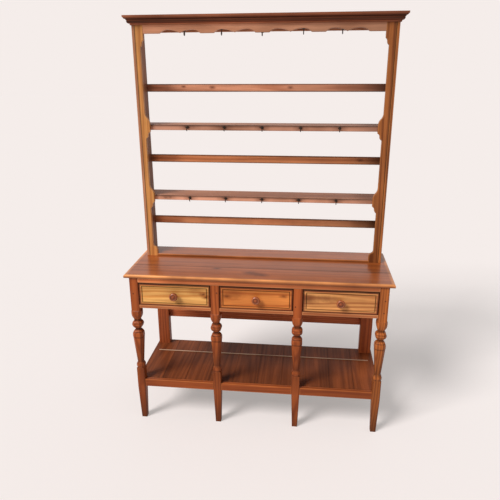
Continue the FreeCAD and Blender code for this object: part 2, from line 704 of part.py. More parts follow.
# Rack sides with housings for the shelf ends.
rack_half = base_half - size["rack_end_inset"]
rack_inner = rack_half - size["rack_side_thick"]
rack_face = back - size["rack_depth"]
rack_base = size["top_height"]
shelf_front = rack_face + size["stile_thick"]
shelf_deep = back - shelf_front
lower_level = rack_base + size["rack_lower_space"]
upper_level = lower_level + size["rack_middle_space"]
frieze_low = upper_level + size["rack_upper_space"]
rack_side_top = frieze_low + size["frieze_tall"]
SHELVES = [("shelf_upper", upper_level), ("shelf_lower", lower_level)]
for label, side in (("rack_side_left", -1), ("rack_side_right", 1)):
    housings = []
    for name, level in SHELVES:
        x_low = -over if side > 0 else size["rack_side_thick"] - size["housing"] - fit
        housings.append(((size["housing"] + fit + over, shelf_deep + over, size["shelf_thick"] + fit * 2),
                         (x_low, size["stile_thick"] - fit, level - size["shelf_thick"] - fit - rack_base)))
    plank(label, (size["rack_side_thick"], size["rack_depth"], rack_side_top - rack_base),
          (rack_inner if side > 0 else -rack_half, rack_face, rack_base), grooves=housings)

# Rack shelves, floor board, plate rails and rear rail.
for label, level in SHELVES:
    plank(label, ((rack_inner + size["housing"]) * 2, shelf_deep, size["shelf_thick"]),
          (-rack_inner - size["housing"], shelf_front, level - size["shelf_thick"]), ease=size["arris"])
floor_notches = [((size["stile_ear"] + over, size["stile_thick"] + over + fit,
                   size["rack_floor_thick"] + over * 2), (start, -over, -over))
                 for start in (-over, rack_inner * 2 - size["stile_ear"])]
plank("rack_floor", (rack_inner * 2, size["rack_depth"] - size["rack_floor_inset"], size["rack_floor_thick"]),
      (-rack_inner, rack_face, rack_base),
      grooves=floor_notches)
for label, level in (("plate_rail_upper", upper_level), ("plate_rail_middle", lower_level),
                     ("plate_rail_lower", rack_base)):
    plank(label, (rack_inner * 2, size["plate_rail_thick"], size["plate_rail_tall"]),
          (-rack_inner, back - size["plate_rail_thick"], level + size[label]), ease=size["arris"] * 2)
plank("rear_top_rail", (rack_inner * 2, size["rear_rail_thick"], size["rear_rail_tall"]),
      (-rack_inner, back - size["rear_rail_thick"], rack_side_top - size["rear_rail_tall"]))
plank("rack_top_board", (rack_half * 2, size["rack_depth"], size["roof_thick"]),
      (-rack_half, rack_face, rack_side_top))

# Shaped stiles: sawn inner edge with a flared foot, an ear at each shelf and a bracket at the head.
narrow = size["stile_narrow"]
ear = size["stile_ear"]
head = size["stile_head"]


def ogee(low_x, low_z, high_x, high_z, out_first):
    """Two equal arcs that swing from one width to another; the middle of the run is the turning point."""
    half_x = (high_x - low_x) / 2
    half_z = (high_z - low_z) / 2
    reach = half_x if half_x.value > 0 else -half_x
    radius = arc_radius(reach, half_z) * 1.001
    first = 1 if (out_first == (half_x.value > 0)) else -1
    return [(low_x, low_z, radius, first), (low_x + half_x, low_z + half_z, radius, -first)]


foot_top = rack_base + size["foot_flare_up"]
head_low = rack_side_top - size["stile_head_tall"]
stile_top = rack_side_top
stile_loop = [(Size.of(0), rack_base), (ear, rack_base)]
stile_loop += ogee(ear, rack_base + size["foot_flare_flat"], narrow, foot_top, False)
stile_loop.append((narrow, foot_top))
for name, level in reversed(SHELVES):
    stile_loop += ogee(narrow, level - size["ear_down"], ear, level - size["ear_flat_down"], True)
    stile_loop.append((ear, level - size["ear_flat_down"]))
    stile_loop += ogee(ear, level + size["ear_flat_up"], narrow, level + size["ear_up"], False)
    stile_loop.append((narrow, level + size["ear_up"]))
stile_loop += ogee(narrow, head_low - size["stile_head_slope"], head, head_low, True)
stile_loop += [(head, head_low), (head, stile_top), (Size.of(0), stile_top)]

stile_left = prism("rack_stile_left", stile_loop, UPRIGHT_FRONT, size["stile_thick"], symmetric=True)
place(stile_left, (-rack_inner, rack_face + size["stile_thick"] / 2, Size.of(0)))
node(stile_left, "rack_stile_left")
stile_right = doc.addObject("Part::Mirroring", "rack_stile_right")
stile_right.Source = stile_left
stile_right.Normal = FreeCAD.Vector(1, 0, 0)
node(stile_right, "rack_stile_right")

# Frieze: four pairs of scallops sawn in the lower edge, between the stile heads.
frieze_half = rack_inner - head
crown = frieze_low + size["scallop_rise"]
cusp = frieze_low + size["scallop_cusp"]
scallop_wide = (frieze_half * 2 - size["scallop_end"] * 2 - size["scallop_flat"] * 3) / 8
outer_arc = arc_radius(size["scallop_rise"], size["scallop_crown"])
inner_arc = arc_radius(crown - cusp, scallop_wide - size["scallop_crown"])
pair = scallop_wide * 2
frieze_loop = [(-frieze_half, rack_side_top), (-frieze_half, frieze_low)]
crowns = []
for number in range(4):
    start = -(pair * 2 + size["scallop_flat"] * 1.5) + (pair + size["scallop_flat"]) * number
    first_crown = start + size["scallop_crown"]
    last_crown = start + pair - size["scallop_crown"]
    frieze_loop += [
        (start, frieze_low, outer_arc, -1),
        (first_crown, crown, inner_arc, -1),
        (start + scallop_wide, cusp, inner_arc, -1),
        (last_crown, crown, outer_arc, -1),
        (start + pair, frieze_low),
    ]
    crowns += [first_crown, last_crown]
frieze_loop += [(frieze_half, frieze_low), (frieze_half, rack_side_top)]
frieze = prism("frieze", frieze_loop, UPRIGHT_FRONT, size["frieze_thick"])
place(frieze, (Size.of(0), rack_face + size["frieze_recess"] + size["frieze_thick"] / 2, Size.of(0)))
node(frieze, "frieze")

# Cornice: one moulding, run along the front and both ends, mitred at the corners.
out = size["cornice_out"]
tall = size["cornice_tall"]
cornice_low = rack_side_top - size["cornice_lap"]


def cornice_profile(face):
    """Section from the wall side outwards: fillet, cove, bead, cove and a square top member."""
    steps = [
        (0.0, 0.0), (0.16, 0.0), (0.16, 0.14), (0.24, 0.16), (0.50, 0.50), (0.58, 0.50),
        (0.58, 0.60), (0.66, 0.62), (0.92, 0.80), (1.0, 0.80), (1.0, 1.0), (0.0, 1.0),
    ]
    loop = []
    for number, (x, z) in enumerate(steps):
        point = (face - out * x, cornice_low + tall * z)
        following = steps[(number + 1) % len(steps)]
        run = out * (following[0] - x)
        rise = tall * (following[1] - z)
        if number in (3, 7):
            point = point + (arc_radius(rise, run) * 1.01, -1)
        elif number == 5:
            point = point + (rise * 0.62, -1)
        loop.append(point)
    return loop


def flat_prism(label, loop):
    """An upright block with the given plan."""
    block = prism(label, loop, FLAT, tall + over * 4, symmetric=False)
    place(block, (Size.of(0), Size.of(0), cornice_low - over * 2))
    return block


front_run = prism("cornice_front_run", cornice_profile(rack_face), UPRIGHT_SIDE, (rack_half + out + over) * 2)
front_plan = flat_prism("cornice_front_plan", [
    (-rack_half - out, rack_face - out), (rack_half + out, rack_face - out),
    (rack_half, rack_face), (-rack_half, rack_face)])
cornice_front = doc.addObject("Part::Common", "cornice_front")
cornice_front.Base = front_run
cornice_front.Tool = front_plan
node(cornice_front, "cornice_front")

end_run = prism("cornice_end_run", cornice_profile(-rack_half), UPRIGHT_FRONT, size["top_depth"] * 3)
end_plan = flat_prism("cornice_end_plan", [
    (-rack_half - out, rack_face - out), (-rack_half, rack_face),
    (-rack_half, back), (-rack_half - out, back)])
cornice_left = doc.addObject("Part::Common", "cornice_left")
cornice_left.Base = end_run
cornice_left.Tool = end_plan
node(cornice_left, "cornice_left")
cornice_right = doc.addObject("Part::Mirroring", "cornice_right")
cornice_right.Source = cornice_left
cornice_right.Normal = FreeCAD.Vector(1, 0, 0)
node(cornice_right, "cornice_right")

# Cup hooks: round plate, short neck and a bent wire with an upturned end.
bend = size["hook_bend"]
wire = size["hook_wire"] / 2
short_neck = size["hook_neck"]


def hook(label, at, hanging, neck_long):
    """One hook. A hanging hook is screwed up into an edge, the others into a front edge."""
    plate = doc.addObject("Part::Cylinder", label + "_plate")
    bind(plate, "Radius", size["hook_plate"] / 2)
    bind(plate, "Height", size["hook_plate_thick"])
    stem = doc.addObject("Part::Cylinder", label + "_neck")
    bind(stem, "Radius", wire)
    bind(stem, "Height", neck_long)
    ring = doc.addObject("Part::Torus", label + "_bend")
    bind(ring, "Radius1", bend)
    bind(ring, "Radius2", wire)
    ring.Angle3 = 200 if not hanging else 215
    x, y, z = at
    root = size["hook_plate_thick"] * 2 / 3
    down = FreeCAD.Rotation(FreeCAD.Vector(1, 0, 0), 180)
    ahead = FreeCAD.Rotation(FreeCAD.Vector(1, 0, 0), 90)
    upright = FreeCAD.Rotation(FreeCAD.Vector(0, 1, 0), -90)
    if hanging:
        plate.Placement.Rotation = down
        stem.Placement.Rotation = down
        ring.Placement.Rotation = upright.multiply(FreeCAD.Rotation(FreeCAD.Vector(0, 0, 1), 90))
        place(plate, (x, y, z))
        place(stem, (x, y, z - root))
        place(ring, (x, y - bend, z - root - neck_long))
    else:
        plate.Placement.Rotation = ahead
        stem.Placement.Rotation = ahead
        ring.Placement.Rotation = upright.multiply(FreeCAD.Rotation(FreeCAD.Vector(0, 0, 1), 180))
        place(plate, (x, y, z))
        place(stem, (x, y - root, z))
        place(ring, (x, y - root - neck_long, z - bend))
    joined = doc.addObject("Part::MultiFuse", label)
    joined.Shapes = [plate, stem, ring]
    return joined


hooks = []
hook_pitch = (rack_inner - size["hook_end_gap"]) / 2
for name, level in SHELVES:
    for step in (-2, -1, 0, 1, 2):
        at = (hook_pitch * step, shelf_front, level - size["shelf_thick"] / 2)
        hooks.append(hook("hook_{}_{}".format(name, step + 2), at, False, short_neck))
frieze_mid = rack_face + size["frieze_recess"] + size["frieze_thick"] / 2
under_crown = crown - size["hook_seat"]
long_neck = size["hook_long_neck"]
outer_plate = under_crown - size["hook_shift_drop"]
outer_neck = long_neck - size["hook_shift_drop"]
TOP_HOOKS = [(crowns[1] - size["hook_shift"], outer_plate, outer_neck), (crowns[2], under_crown, long_neck),
             (Size.of(0), frieze_low, short_neck), (crowns[5], under_crown, long_neck),
             (crowns[6] + size["hook_shift"], outer_plate, outer_neck)]
for number, (x, z, neck) in enumerate(TOP_HOOKS):
    hooks.append(hook("hook_top_{}".format(number), (x, frieze_mid, z), True, neck))
group("cup_hooks", hooks)

# Drawers: beaded front, two sides, back, bottom let into grooves, turned knob.
gap = size["drawer_gap"]
front_wide = opening - gap * 2
front_low = drawer_rail_top + size["drawer_lift"]
front_tall = size["drawer_open_tall"] - size["drawer_lift"] - gap
front_face = leg_face + size["drawer_recess"]
front_thick = size["drawer_front_thick"]
box_front = front_face + front_thick
box_back = back_leg_front - size["drawer_back_gap"]
side_thick = size["drawer_side_thick"]
side_low = drawer_rail_top + fit * 2
side_tall = front_low + front_tall - size["drawer_side_drop"] - side_low
groove_deep = size["drawer_groove"]
bottom_low = side_low + size["drawer_bottom_lift"]
bottom_thick = size["drawer_bottom_thick"]
bead = size["drawer_bead"]
quirk = size["drawer_quirk"]
slack = size["drawer_slack"]


def drawer_front(label, middle):
    """Board with a rounded border and a sunk line inside it; a groove behind takes the bottom."""
    body = doc.addObject("PartDesign::Body", label)
    stock = body.newObject("PartDesign::AdditiveBox", label + "_stock")
    set_box(stock, (front_wide, front_thick, front_tall))
    doc.recompute()
    names = ["Edge{}".format(number + 1) for number, edge in enumerate(stock.Shape.Edges)
             if edge.BoundBox.YMax < 0.01]
    rounded = body.newObject("PartDesign::Fillet", label + "_border")
    rounded.Base = (stock, names)
    bind(rounded, "Radius", size["drawer_round"])
    last = rounded
    strips = [
        ((front_wide - bead * 2, quirk, quirk), (bead, Size.of(0), bead)),
        ((front_wide - bead * 2, quirk, quirk), (bead, Size.of(0), front_tall - bead - quirk)),
        ((quirk, quirk, front_tall - bead * 2), (bead, Size.of(0), bead)),
        ((quirk, quirk, front_tall - bead * 2), (front_wide - bead - quirk, Size.of(0), bead)),
        ((front_wide - side_thick, groove_deep + fit, bottom_thick + fit * 2),
         (side_thick / 2, front_thick - groove_deep - fit, bottom_low - front_low - fit)),
    ]
    for number, (dims, corner) in enumerate(strips):
        last = body.newObject("PartDesign::SubtractiveBox", "{}_line_{}".format(label, number))
        set_box(last, dims, corner)
    body.Tip = last
    place(body, (middle - front_wide / 2, front_face, front_low))
    return node(body, label)


def knob(label, middle):
    """Turned knob: neck, swelling rim and a dished face, with its axis square to the drawer front."""
    long = size["knob_long"]
    swell = long * 0.06
    rim = size["knob_wide"] / 2 - swell
    waist = size["knob_neck"] / 2
    loop = [
        (Size.of(0), Size.of(0)),
        (waist * 1.2, Size.of(0)),
        (waist * 1.2, long * 0.10),
        (waist, long * 0.16),
        (waist, long * 0.36, long * 0.3, -1),
        (rim, long * 0.60, bow_radius(long * 0.24, swell), 1),
        (rim, long * 0.84),
        (rim * 0.78, long * 0.93),
        (rim * 0.62, long * 0.87),
        (rim * 0.34, long * 0.90),
        (rim * 0.22, long),
        (Size.of(0), long),
    ]
    body = doc.addObject("PartDesign::Body", label)
    sketch = body.newObject("Sketcher::SketchObject", label + "_half")
    plane = [item for item in body.Origin.OriginFeatures if item.Role == "XY_Plane"][0]
    sketch.AttachmentSupport = (plane, [""])
    sketch.MapMode = "FlatFace"
    fill_sketch(sketch, loop)
    turned = body.newObject("PartDesign::Revolution", label + "_turned")
    turned.Profile = sketch
    turned.ReferenceAxis = (sketch, ["V_Axis"])
    turned.Angle = 360
    body.Tip = turned
    body.Placement.Rotation = FreeCAD.Rotation(FreeCAD.Vector(0, 0, 1), 180)
    place(body, (middle, front_face, front_low + front_tall / 2))
    return node(body, label)


stops = []
for bay, middle in zip(BAYS, bays_at):
    name = "drawer_" + bay
    drawer_front(name + "_front", middle)
    half = front_wide / 2 - size["drawer_inset"]
    sides = []
    for tag, start in (("l", middle - half), ("r", middle + half - side_thick)):
        inner = side_thick - groove_deep - fit if tag == "l" else -over
        groove = ((groove_deep + fit + over, box_back - box_front + over * 2, bottom_thick + fit * 2),
                  (inner, -over, bottom_low - side_low - fit))
        sides.append(plank("{}_side_{}".format(name, tag), (side_thick, box_back - box_front, side_tall),
                           (start, box_front, side_low), grooves=[groove], own_node=False))
    group(name + "_sides", sides)
    inside = (half - side_thick) * 2
    back_low = bottom_low + bottom_thick
    plank(name + "_back", (inside, side_thick, side_low + side_tall - back_low),
          (middle - inside / 2, box_back - side_thick, back_low))
    bottom_wide = inside + (groove_deep - slack) * 2
    plank(name + "_bottom", (bottom_wide, box_back - box_front + groove_deep - slack, bottom_thick),
          (middle - bottom_wide / 2, box_front - groove_deep + slack, bottom_low), ease=None)
    knob(name + "_knob", middle)
    stops.append(plank("stop_" + bay, (size["stop_long"], inside_front - box_front - slack, size["stop_tall"]),
                       (middle - size["stop_long"] / 2, box_front + slack, drawer_rail_top), own_node=False))
group("drawer_stops", stops)

doc.recompute()
for item in doc.Objects:
    if "Invalid" in item.State or "Error" in item.State:
        raise RuntimeError("{} is {}".format(item.Label, item.State))
os.makedirs("parts", exist_ok=True)
for item in NODES:
    shape = item.Shape
    if shape.isNull() or not shape.isValid() or not shape.Solids:
        raise RuntimeError("{} has no valid solid".format(item.Label))
    shape.exportStep("parts/{}.step".format(item.Label))
print(len(NODES), "sub-parts")
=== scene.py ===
# Kitchen dresser with an open plate rack, three drawers and a pot board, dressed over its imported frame.
# Metres, +Z up, front towards -Y.
import math

import bpy
import numpy as np
from mathutils import Matrix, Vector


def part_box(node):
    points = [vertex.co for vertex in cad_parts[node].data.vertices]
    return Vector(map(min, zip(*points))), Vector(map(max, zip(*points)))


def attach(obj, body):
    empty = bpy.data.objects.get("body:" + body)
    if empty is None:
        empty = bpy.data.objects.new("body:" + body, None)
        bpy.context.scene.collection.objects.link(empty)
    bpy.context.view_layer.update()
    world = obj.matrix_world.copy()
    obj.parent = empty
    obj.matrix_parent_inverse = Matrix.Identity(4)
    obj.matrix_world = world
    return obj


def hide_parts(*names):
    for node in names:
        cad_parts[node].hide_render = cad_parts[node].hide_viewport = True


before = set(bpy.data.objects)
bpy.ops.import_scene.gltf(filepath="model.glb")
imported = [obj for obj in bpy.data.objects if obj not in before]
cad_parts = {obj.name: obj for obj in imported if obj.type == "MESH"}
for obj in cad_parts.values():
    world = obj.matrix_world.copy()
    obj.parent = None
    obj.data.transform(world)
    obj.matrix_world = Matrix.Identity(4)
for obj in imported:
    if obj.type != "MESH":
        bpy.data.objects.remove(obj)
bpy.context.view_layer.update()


# Back legs: two plain square pine posts with softened arrises, standing at the back corners of the base.
# They are waxed like the rest, a little redder and darker where no light reaches them.
def tint(chart):
    """A paint-chart colour, three parts of 0 to 255, as linear light."""
    chart = np.array(chart) / 255.0
    linear = np.where(chart <= 0.04045, chart / 12.92, ((chart + 0.055) / 1.055) ** 2.4)
    return (*linear.tolist(), 1.0)


def blank_material(name):
    """A new material with nothing in it, and its node tree."""
    material = bpy.data.materials.new(name)
    material.use_nodes = True
    material.node_tree.nodes.clear()
    return material, material.node_tree


def shade(tree, kind, inputs=None, **settings):
    """One shader node with its settings and its inputs, which are values or other nodes' outputs."""
    made = tree.nodes.new("ShaderNode" + kind)
    for key, value in settings.items():
        setattr(made, key, value)
    for key, value in (inputs or {}).items():
        if isinstance(value, bpy.types.NodeSocket):
            tree.links.new(value, made.inputs[key])
        else:
            made.inputs[key].default_value = value
    return made


def blend_in(tree, under, over, amount):
    """Mixes one colour into another by an amount."""
    return shade(tree, "Mix", {0: amount, 6: under, 7: over}, data_type="RGBA").outputs[2]


def ramp(tree, value, low, high, start=0.0, end=1.0):
    """Straight ramp of a value from one span to another, held at both ends."""
    inputs = {"Value": value, "From Min": low, "From Max": high, "To Min": start, "To Max": end}
    return shade(tree, "MapRange", inputs).outputs["Result"]


def combine(tree, one, two, kind="MULTIPLY"):
    """Arithmetic on two values."""
    return shade(tree, "Math", {0: one, 1: two}, operation=kind).outputs[0]


def waxed_pine(name, pale, deep, streak, rubbed_and_lit=None, ring=24.0, figure=0.7, streaks=0.6, knots=0.0,
               rough=0.5, polish=0.05, gloss=0.18, lie=None, spots=(), halo=0.8):
    """Solid timber: the distance from a wandering heart line makes growth rings, noise drawn out along the
    grain makes bands, flames and fibres, and a few cells of a scatter make knots. Spots are knots, and on the
    shelves the painted shadows of the hooks, at known places: a dark core in a halo, twice as long across as
    high. The marks of a piece are its own tone, rubbed arrises and grime, which in places also carry painted
    light, highlights and shade; lie names the grain's axis for a node that carries no fibre."""
    pale, deep, streak = (tint(chart) for chart in (pale, deep, streak))
    dark = tuple(0.35 * part for part in streak[:3]) + (1.0,)
    material, tree = blank_material(name)
    place = shade(tree, "TexCoord").outputs["Object"]
    if lie is None:
        fibre = shade(tree, "Attribute", attribute_name="fibre").outputs["Vector"]
    else:
        turn = {"x": (0.0, 0.0, 0.0), "y": (0.0, 0.0, -math.pi / 2), "z": (0.0, math.pi / 2, 0.0)}[lie]
        heart = (0.4, 0.03, 0.05)
        fibre = shade(tree, "Mapping", {"Vector": place, "Rotation": turn, "Location": heart}).outputs[0]
    marks = shade(tree, "Attribute", attribute_name="marks").outputs["Vector"]
    tone, wear_and_highlight, grime_and_shade = shade(tree, "SeparateXYZ", {0: marks}).outputs

    def drawn(scale, detail):
        """Noise in the tree's own space, stretched by a scale for each axis."""
        inside = shade(tree, "Mapping", {"Vector": fibre, "Scale": scale}).outputs[0]
        return shade(tree, "TexNoise", {"Vector": inside, "Scale": 1.0, "Detail": detail})

    def moved(kind, *inputs):
        """Arithmetic on vectors."""
        return shade(tree, "VectorMath", dict(enumerate(inputs)), operation=kind).outputs[0]

    wander = drawn((0.8, 5.0, 5.0), 2.0).outputs["Color"]
    straight = shade(tree, "Mapping", {"Vector": fibre, "Scale": (0.06, 1.0, 1.0)}).outputs[0]
    bent = moved("MULTIPLY_ADD", wander, (0.0, 0.05, 0.05), straight)
    rings = shade(tree, "TexWave", {"Vector": bent, "Scale": ring, "Distortion": 1.6, "Detail": 2.0,
                                    "Detail Scale": 1.3, "Detail Roughness": 0.6},
                  wave_type="RINGS", rings_direction="X", wave_profile="SIN").outputs["Fac"]
    late = ramp(tree, rings, 0.35, 0.98, 0.0, figure)
    bands = ramp(tree, drawn((0.7, 13.0, 13.0), 3.0).outputs["Fac"], 0.46, 0.74, 0.0, streaks)
    fine = drawn((5.0, 330.0, 330.0), 3.0).outputs["Fac"]
    flame = drawn((2.2, 60.0, 60.0), 4.0).outputs["Fac"]
    dents = shade(tree, "TexNoise", {"Vector": place, "Scale": 70.0, "Detail": 2.0}).outputs["Fac"]
    colour = blend_in(tree, pale, deep, late)
    colour = blend_in(tree, colour, streak, bands)
    colour = blend_in(tree, colour, streak, ramp(tree, flame, 0.5, 0.78, 0.0, 0.8 * streaks))
    colour = blend_in(tree, colour, streak, ramp(tree, fine, 0.5, 0.85, 0.0, 0.5))
    if knots > 0.0:
        scatter = shade(tree, "Mapping", {"Vector": fibre, "Scale": (1.9, 8.5, 8.5)}).outputs[0]
        cells = shade(tree, "TexVoronoi", {"Vector": scatter, "Scale": 1.0})
        chosen = shade(tree, "SeparateColor", {0: cells.outputs["Color"]}).outputs[0]
        spot = ramp(tree, cells.outputs["Distance"], 0.04, 0.15, 1.0, 0.0)
        spot = combine(tree, spot, combine(tree, chosen, 1.0 - knots, "GREATER_THAN"))
        colour = blend_in(tree, colour, dark, combine(tree, spot, 0.85))
    hand = shade(tree, "TexNoise", {"Vector": place, "Scale": 6.0, "Detail": 3.0}).outputs["Fac"]
    # The rubbed colour marks worn arrises and, on some pieces, painted highlights.
    if rubbed_and_lit is not None:
        worn_and_lit = combine(tree, wear_and_highlight, ramp(tree, hand, 0.3, 0.6, 0.35, 0.85))
        colour = blend_in(tree, colour, tint(rubbed_and_lit), worn_and_lit)
    for centre, radius, core in spots:
        oval = moved("MULTIPLY", moved("SUBTRACT", place, centre), (0.5, 1.0, 1.0))
        far = shade(tree, "VectorMath", {0: oval}, operation="LENGTH").outputs["Value"]
        far = combine(tree, far, ramp(tree, dents, 0.2, 0.8, -0.4 * radius, 0.4 * radius), "ADD")
        soft = ramp(tree, far, 0.9 * radius, 2.6 * radius, halo * (0.5 + 0.5 * core), 0.0)
        colour = blend_in(tree, colour, streak, soft)
        colour = blend_in(tree, colour, dark, ramp(tree, far, 0.3 * radius, 0.9 * radius, core, 0.0))
    # Tone and grime scale the colour; in places they are painted light and painted shade.
    level = combine(tree, ramp(tree, hand, 0.25, 0.75, 0.86, 1.14), ramp(tree, tone, -1.0, 1.0, 0.55, 1.45))
    level = combine(tree, level, ramp(tree, grime_and_shade, 0.0, 1.0, 1.0, 0.16))
    colour = shade(tree, "VectorMath", {0: colour, "Scale": level}, operation="SCALE").outputs[0]
    sheen = combine(tree, ramp(tree, fine, 0.2, 0.8, rough - 0.07, rough + 0.09),
                    combine(tree, grime_and_shade, 0.25), "ADD")
    height = combine(tree, combine(tree, fine, 0.6), combine(tree, late, -0.3), "ADD")
    height = combine(tree, height, combine(tree, dents, 0.35), "ADD")
    bump = shade(tree, "Bump", {"Strength": 0.35, "Distance": 0.0008, "Height": height}).outputs[0]
    surface = shade(tree, "BsdfPrincipled", {"Base Color": colour, "Roughness": sheen, "Normal": bump,
                                             "Specular IOR Level": gloss, "Coat Weight": polish,
                                             "Coat Roughness": 0.15})
    shade(tree, "OutputMaterial", {"Surface": surface.outputs[0]})
    return material


def grain(points, along, seed):
    """Places a piece in the tree it was sawn from: its middle at the origin, first the way along the trunk,
    then across the wide side and out from the heart, with the heart line leaning a little to the piece."""
    low, high = points.min(0), points.max(0)
    across = [axis for axis in np.argsort(low - high) if axis != along]
    local = (points - (low + high) / 2)[:, [along] + across]
    lean = local[:, :1] * np.array([0.0, 0.012 * math.cos(seed * 2.1), 0.022 * math.cos(seed * 1.3)])
    aside, inward = ((seed * 0.618) % 1.0 - 0.5) * 0.08, 0.03 + 0.06 * ((seed * 0.377) % 1.0)
    return local + lean + np.array([seed * 1.7, aside, inward])


def add_piece(node, points, faces, material, name=None, body="carcass", along=0, seed=1.0,
              tone=0.0, wear_and_highlight=None, grime_and_shade=None, sharp=35.0):
    """Puts points and faces into a mesh at the origin with the piece's fibre and marks, smooth between its
    sharp edges, and lets it ride on its body in place of a node, if it stands for one."""
    name = name or node + "_wood"
    mesh = bpy.data.meshes.new(name)
    mesh.from_pydata(points.tolist(), [], [list(face) for face in faces])
    zero = np.zeros(len(points))
    marks = np.stack([zero + tone, zero if wear_and_highlight is None else wear_and_highlight, zero if grime_and_shade is None else grime_and_shade], axis=1)
    for key, values in (("fibre", grain(points, along, seed)), ("marks", marks)):
        layer = mesh.attributes.new(key, "FLOAT_VECTOR", "POINT")
        layer.data.foreach_set("vector", values.astype(np.float32).ravel())
    mesh.polygons.foreach_set("use_smooth", np.ones(len(mesh.polygons), dtype=bool))
    mesh.set_sharp_from_angle(angle=math.radians(sharp))
    mesh.materials.append(material)
    piece = bpy.data.objects.new(name, mesh)
    bpy.context.collection.objects.link(piece)
    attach(piece, body)
    if node:
        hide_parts(node)


def corners(node):
    """Lower and upper corner of a node's box."""
    return [np.array(corner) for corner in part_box(node)]


def grid_quads(index):
    """Quads between the neighbours in a grid of point numbers."""
    return np.stack([index[:-1, :-1], index[1:, :-1], index[1:, 1:], index[:-1, 1:]], axis=-1).reshape(-1, 4)


def eased_box(low, high, ease, fall=0.004):
    """A board with softened arrises: grid points on the six faces of its box are drawn in to a core smaller
    by the easing and pushed out again by the easing along the same line. Wear is 1 on the arrises and
    fades over the fall."""
    low, high = np.array(low, dtype=float), np.array(high, dtype=float)
    lines = []
    for start, end in zip(low, high):
        inset = np.array([0.0, ease * (1.0 - math.tan(math.pi / 8)), ease, ease + fall])
        inset = inset[inset < (end - start) / 2 - 1e-6]
        lines.append(np.concatenate([start + inset, (end - inset)[::-1]]))
    points, quads, count = [], [], 0
    for axis in range(3):
        first, second = [other for other in range(3) if other != axis]
        one, two = np.meshgrid(lines[first], lines[second], indexing="ij")
        outside = grid_quads(np.arange(one.size).reshape(one.shape))
        for level, outward in ((low[axis], -1), (high[axis], 1)):
            face = np.empty((one.size, 3))
            face[:, axis], face[:, first], face[:, second] = level, one.ravel(), two.ravel()
            points.append(face)
            turn = outward if axis != 1 else -outward
            quads.append((outside if turn > 0 else outside[:, ::-1]) + count)
            count += one.size
    points, quads = np.concatenate(points), np.concatenate(quads)
    unique, back = np.unique(np.round(points, 7), axis=0, return_inverse=True)
    quads = back.reshape(-1)[quads]
    core = np.clip(unique, low + ease, high - ease)
    away = unique - core
    eased = core + away / np.linalg.norm(away, axis=1, keepdims=True) * ease
    depth = np.sort(np.minimum(unique - low, high - unique), axis=1)[:, 1]
    return eased, quads, np.clip(1.0 - (depth - ease) / fall, 0.0, 1.0)


# The shaded pine is painted darker and redder as shade, for parts that little light reaches.
shade_pine = waxed_pine("shaded_pine", (166, 84, 44), (124, 56, 28), (80, 32, 14), rubbed_and_lit=(150, 80, 42),
                        ring=30.0, polish=0.03)
LEG_SPARE, LEG_BEHIND, LEG_EASE = 0.015, 0.0003, 0.0026
for seed, side, tone, inner in ((3.0, "left", 0.05, (0, LEG_SPARE)), (4.0, "right", 0.8, (LEG_SPARE, 0))):
    node = "leg_back_" + side
    low, high = corners(node)
    points, quads, wear_and_highlight = eased_box(low - (inner[0], 0, 0), high + (inner[1], -LEG_BEHIND, 0), LEG_EASE)
    add_piece(node, points, quads, shade_pine, along=2, seed=seed, tone=tone, wear_and_highlight=wear_and_highlight)


# Front legs: four balusters sawn from square pine on two faces, their corners planed off into facets, over a
# tapered square foot and under a square block that takes the rails. Lines are cut round each bell and ball.
def bowed(start, end, radius, turn, count=14):
    """Points of the minor arc from start to end with the given radius; turn +1 runs anticlockwise."""
    start, end = np.array(start), np.array(end)
    half = np.linalg.norm(end - start) / 2
    left = np.array([start[1] - end[1], end[0] - start[0]]) / (2 * half)
    centre = (start + end) / 2 + left * turn * math.sqrt(max(radius ** 2 - half ** 2, 0.0))
    first = math.atan2(*(start - centre)[::-1])
    last = math.atan2(*(end - centre)[::-1])
    sweep = (last - first + math.pi) % (2 * math.pi) - math.pi
    angle = first + sweep * np.linspace(0.0, 1.0, count)
    return centre + radius * np.stack([np.cos(angle), np.sin(angle)], axis=1)


def outline(steps):
    """Runs of straight lines and arcs: a step is (across, up), or (across, up, radius, turn) where an arc
    leaves."""
    runs = []
    for step, following in zip(steps, steps[1:]):
        if len(step) == 4:
            runs.append(bowed(step[:2], following[:2], step[2], step[3])[:-1])
        else:
            runs.append(np.array([step[:2]]))
    return np.concatenate(runs + [np.array([steps[-1][:2]])])


def bow(chord, rise):
    """Radius of an arc from its chord and rise."""
    return (chord * chord / 4 + rise * rise) / (2 * rise)


def reach(across, along):
    """Radius of an arc that leaves a point square to across and ends the given way across and along."""
    return (across * across + along * along) / (2 * across)


def tube_faces(rows, count, start=0):
    """Faces of a tube of rows by count points, numbered row by row: quads round it and a cap at each end."""
    index = np.arange(rows * count).reshape(rows, count) + start
    ahead = np.roll(index, -1, axis=1)
    quads = np.stack([index[:-1], ahead[:-1], ahead[1:], index[1:]], axis=-1).reshape(-1, 4)
    return quads.tolist() + [index[0, ::-1].tolist(), index[-1].tolist()]


def eased_sides(rings, ease, inner, limit):
    """Five points on each side of rings of corners: half way, and from both corners by the easing and by an
    inner inset, neither more than the limit as a part of the side. Wear is 1 beside the corners."""
    following = np.roll(rings, -1, axis=1)
    length = np.maximum(np.linalg.norm(following - rings, axis=2), 1e-9)
    beside, within = (np.minimum(inset / length, limit) for inset in (ease, inner))
    parts = [beside, within, np.full_like(length, 0.5), 1.0 - within, 1.0 - beside]
    section = np.stack([rings + (following - rings) * part[:, :, None] for part in parts], axis=2)
    rub_and_highlight = np.tile([1.0, 0.0, 0.0, 0.0, 1.0], rings.shape[:2]).ravel()
    return section.reshape(-1, 2), tube_faces(len(rings), rings.shape[1] * len(parts)), rub_and_highlight


